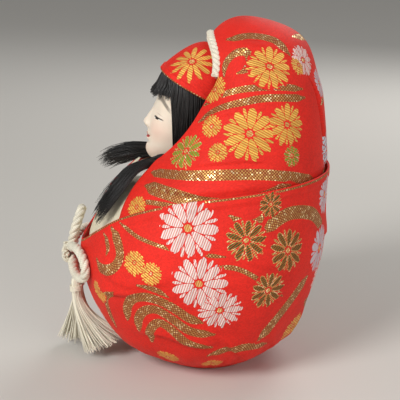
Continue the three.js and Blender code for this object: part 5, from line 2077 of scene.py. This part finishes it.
class DOLL_OT_base(DollOperator, bpy.types.Operator):
    """Round cover under the base, sewn to the robe's hem"""

    bl_idname = "doll.base"
    bl_label = "Base"

    def make(self, colours, sizes):
        finish = silk_finish("base_silk", colours.red, 0.5)
        turn = np.linspace(0, TAU, BASE_COLUMNS)
        points = np.array([ring(turn, radius, height) for radius, height in BASE_PROFILE])
        weave = points[..., :2].reshape(-1, 2)
        points, faces, source = welded(points.reshape(-1, 3), grid(len(BASE_PROFILE), len(turn)))
        made = piece("base_cover_silk", points, faces, finish, {"weave": weave[source]})
        settle(made, "doll", "red_silk", "base_cover")
        sewing = rigid_finish("sewing_thread", linear(170, 26, 20), linear(214, 60, 44), 900, 0.1, 0.6)
        share = np.linspace(0, 1, STITCH_POINTS)
        reach = np.interp(share, [0, 1], STITCH_REACH)
        z = STITCH_HEIGHT + STITCH_ENDS * (2 * share - 1) ** 2
        lines = []
        for k in range(STITCHES):
            turn = k * TAU / STITCHES + STITCH_TURN * share
            lines.append(np.stack([reach * np.sin(turn), -reach * np.cos(turn), z], 1))
        stitches = threads("base_stitches", lines, STITCH_THREAD, 5, sewing)
        settle(stitches, "doll", "red_silk")


# Panel and registration

OPERATORS = [
    DOLL_OT_stage, DOLL_OT_cords, DOLL_OT_tassels, DOLL_OT_robe, DOLL_OT_hood, DOLL_OT_chest, DOLL_OT_cap,
    DOLL_OT_head, DOLL_OT_hair, DOLL_OT_locks, DOLL_OT_base, DOLL_OT_filling,
]


class DOLL_PT_panel(bpy.types.Panel):
    """Colours, sizes and steps of the doll"""

    bl_idname = "DOLL_PT_panel"
    bl_label = "Doll"
    bl_space_type = "VIEW_3D"
    bl_region_type = "UI"
    bl_category = "Doll"

    def draw(self, context):
        for group in (context.scene.doll_colours, context.scene.doll_sizes):
            for key in group.bl_rna.properties.keys():
                if key not in ("rna_type", "name"):
                    self.layout.prop(group, key)
        for operator in OPERATORS:
            self.layout.operator(operator.bl_idname)


CLASSES = [DollColours, DollSizes, *OPERATORS, DOLL_PT_panel]


def register():
    for kind in CLASSES:
        bpy.utils.register_class(kind)
    bpy.types.Scene.doll_colours = PointerProperty(type=DollColours)
    bpy.types.Scene.doll_sizes = PointerProperty(type=DollSizes)


def unregister():
    del bpy.types.Scene.doll_sizes
    del bpy.types.Scene.doll_colours
    for kind in reversed(CLASSES):
        bpy.utils.unregister_class(kind)


def main():
    register()
    for operator in OPERATORS:
        group, name = operator.bl_idname.split(".")
        getattr(getattr(bpy.ops, group), name)()


if __name__ == "__main__":
    main()
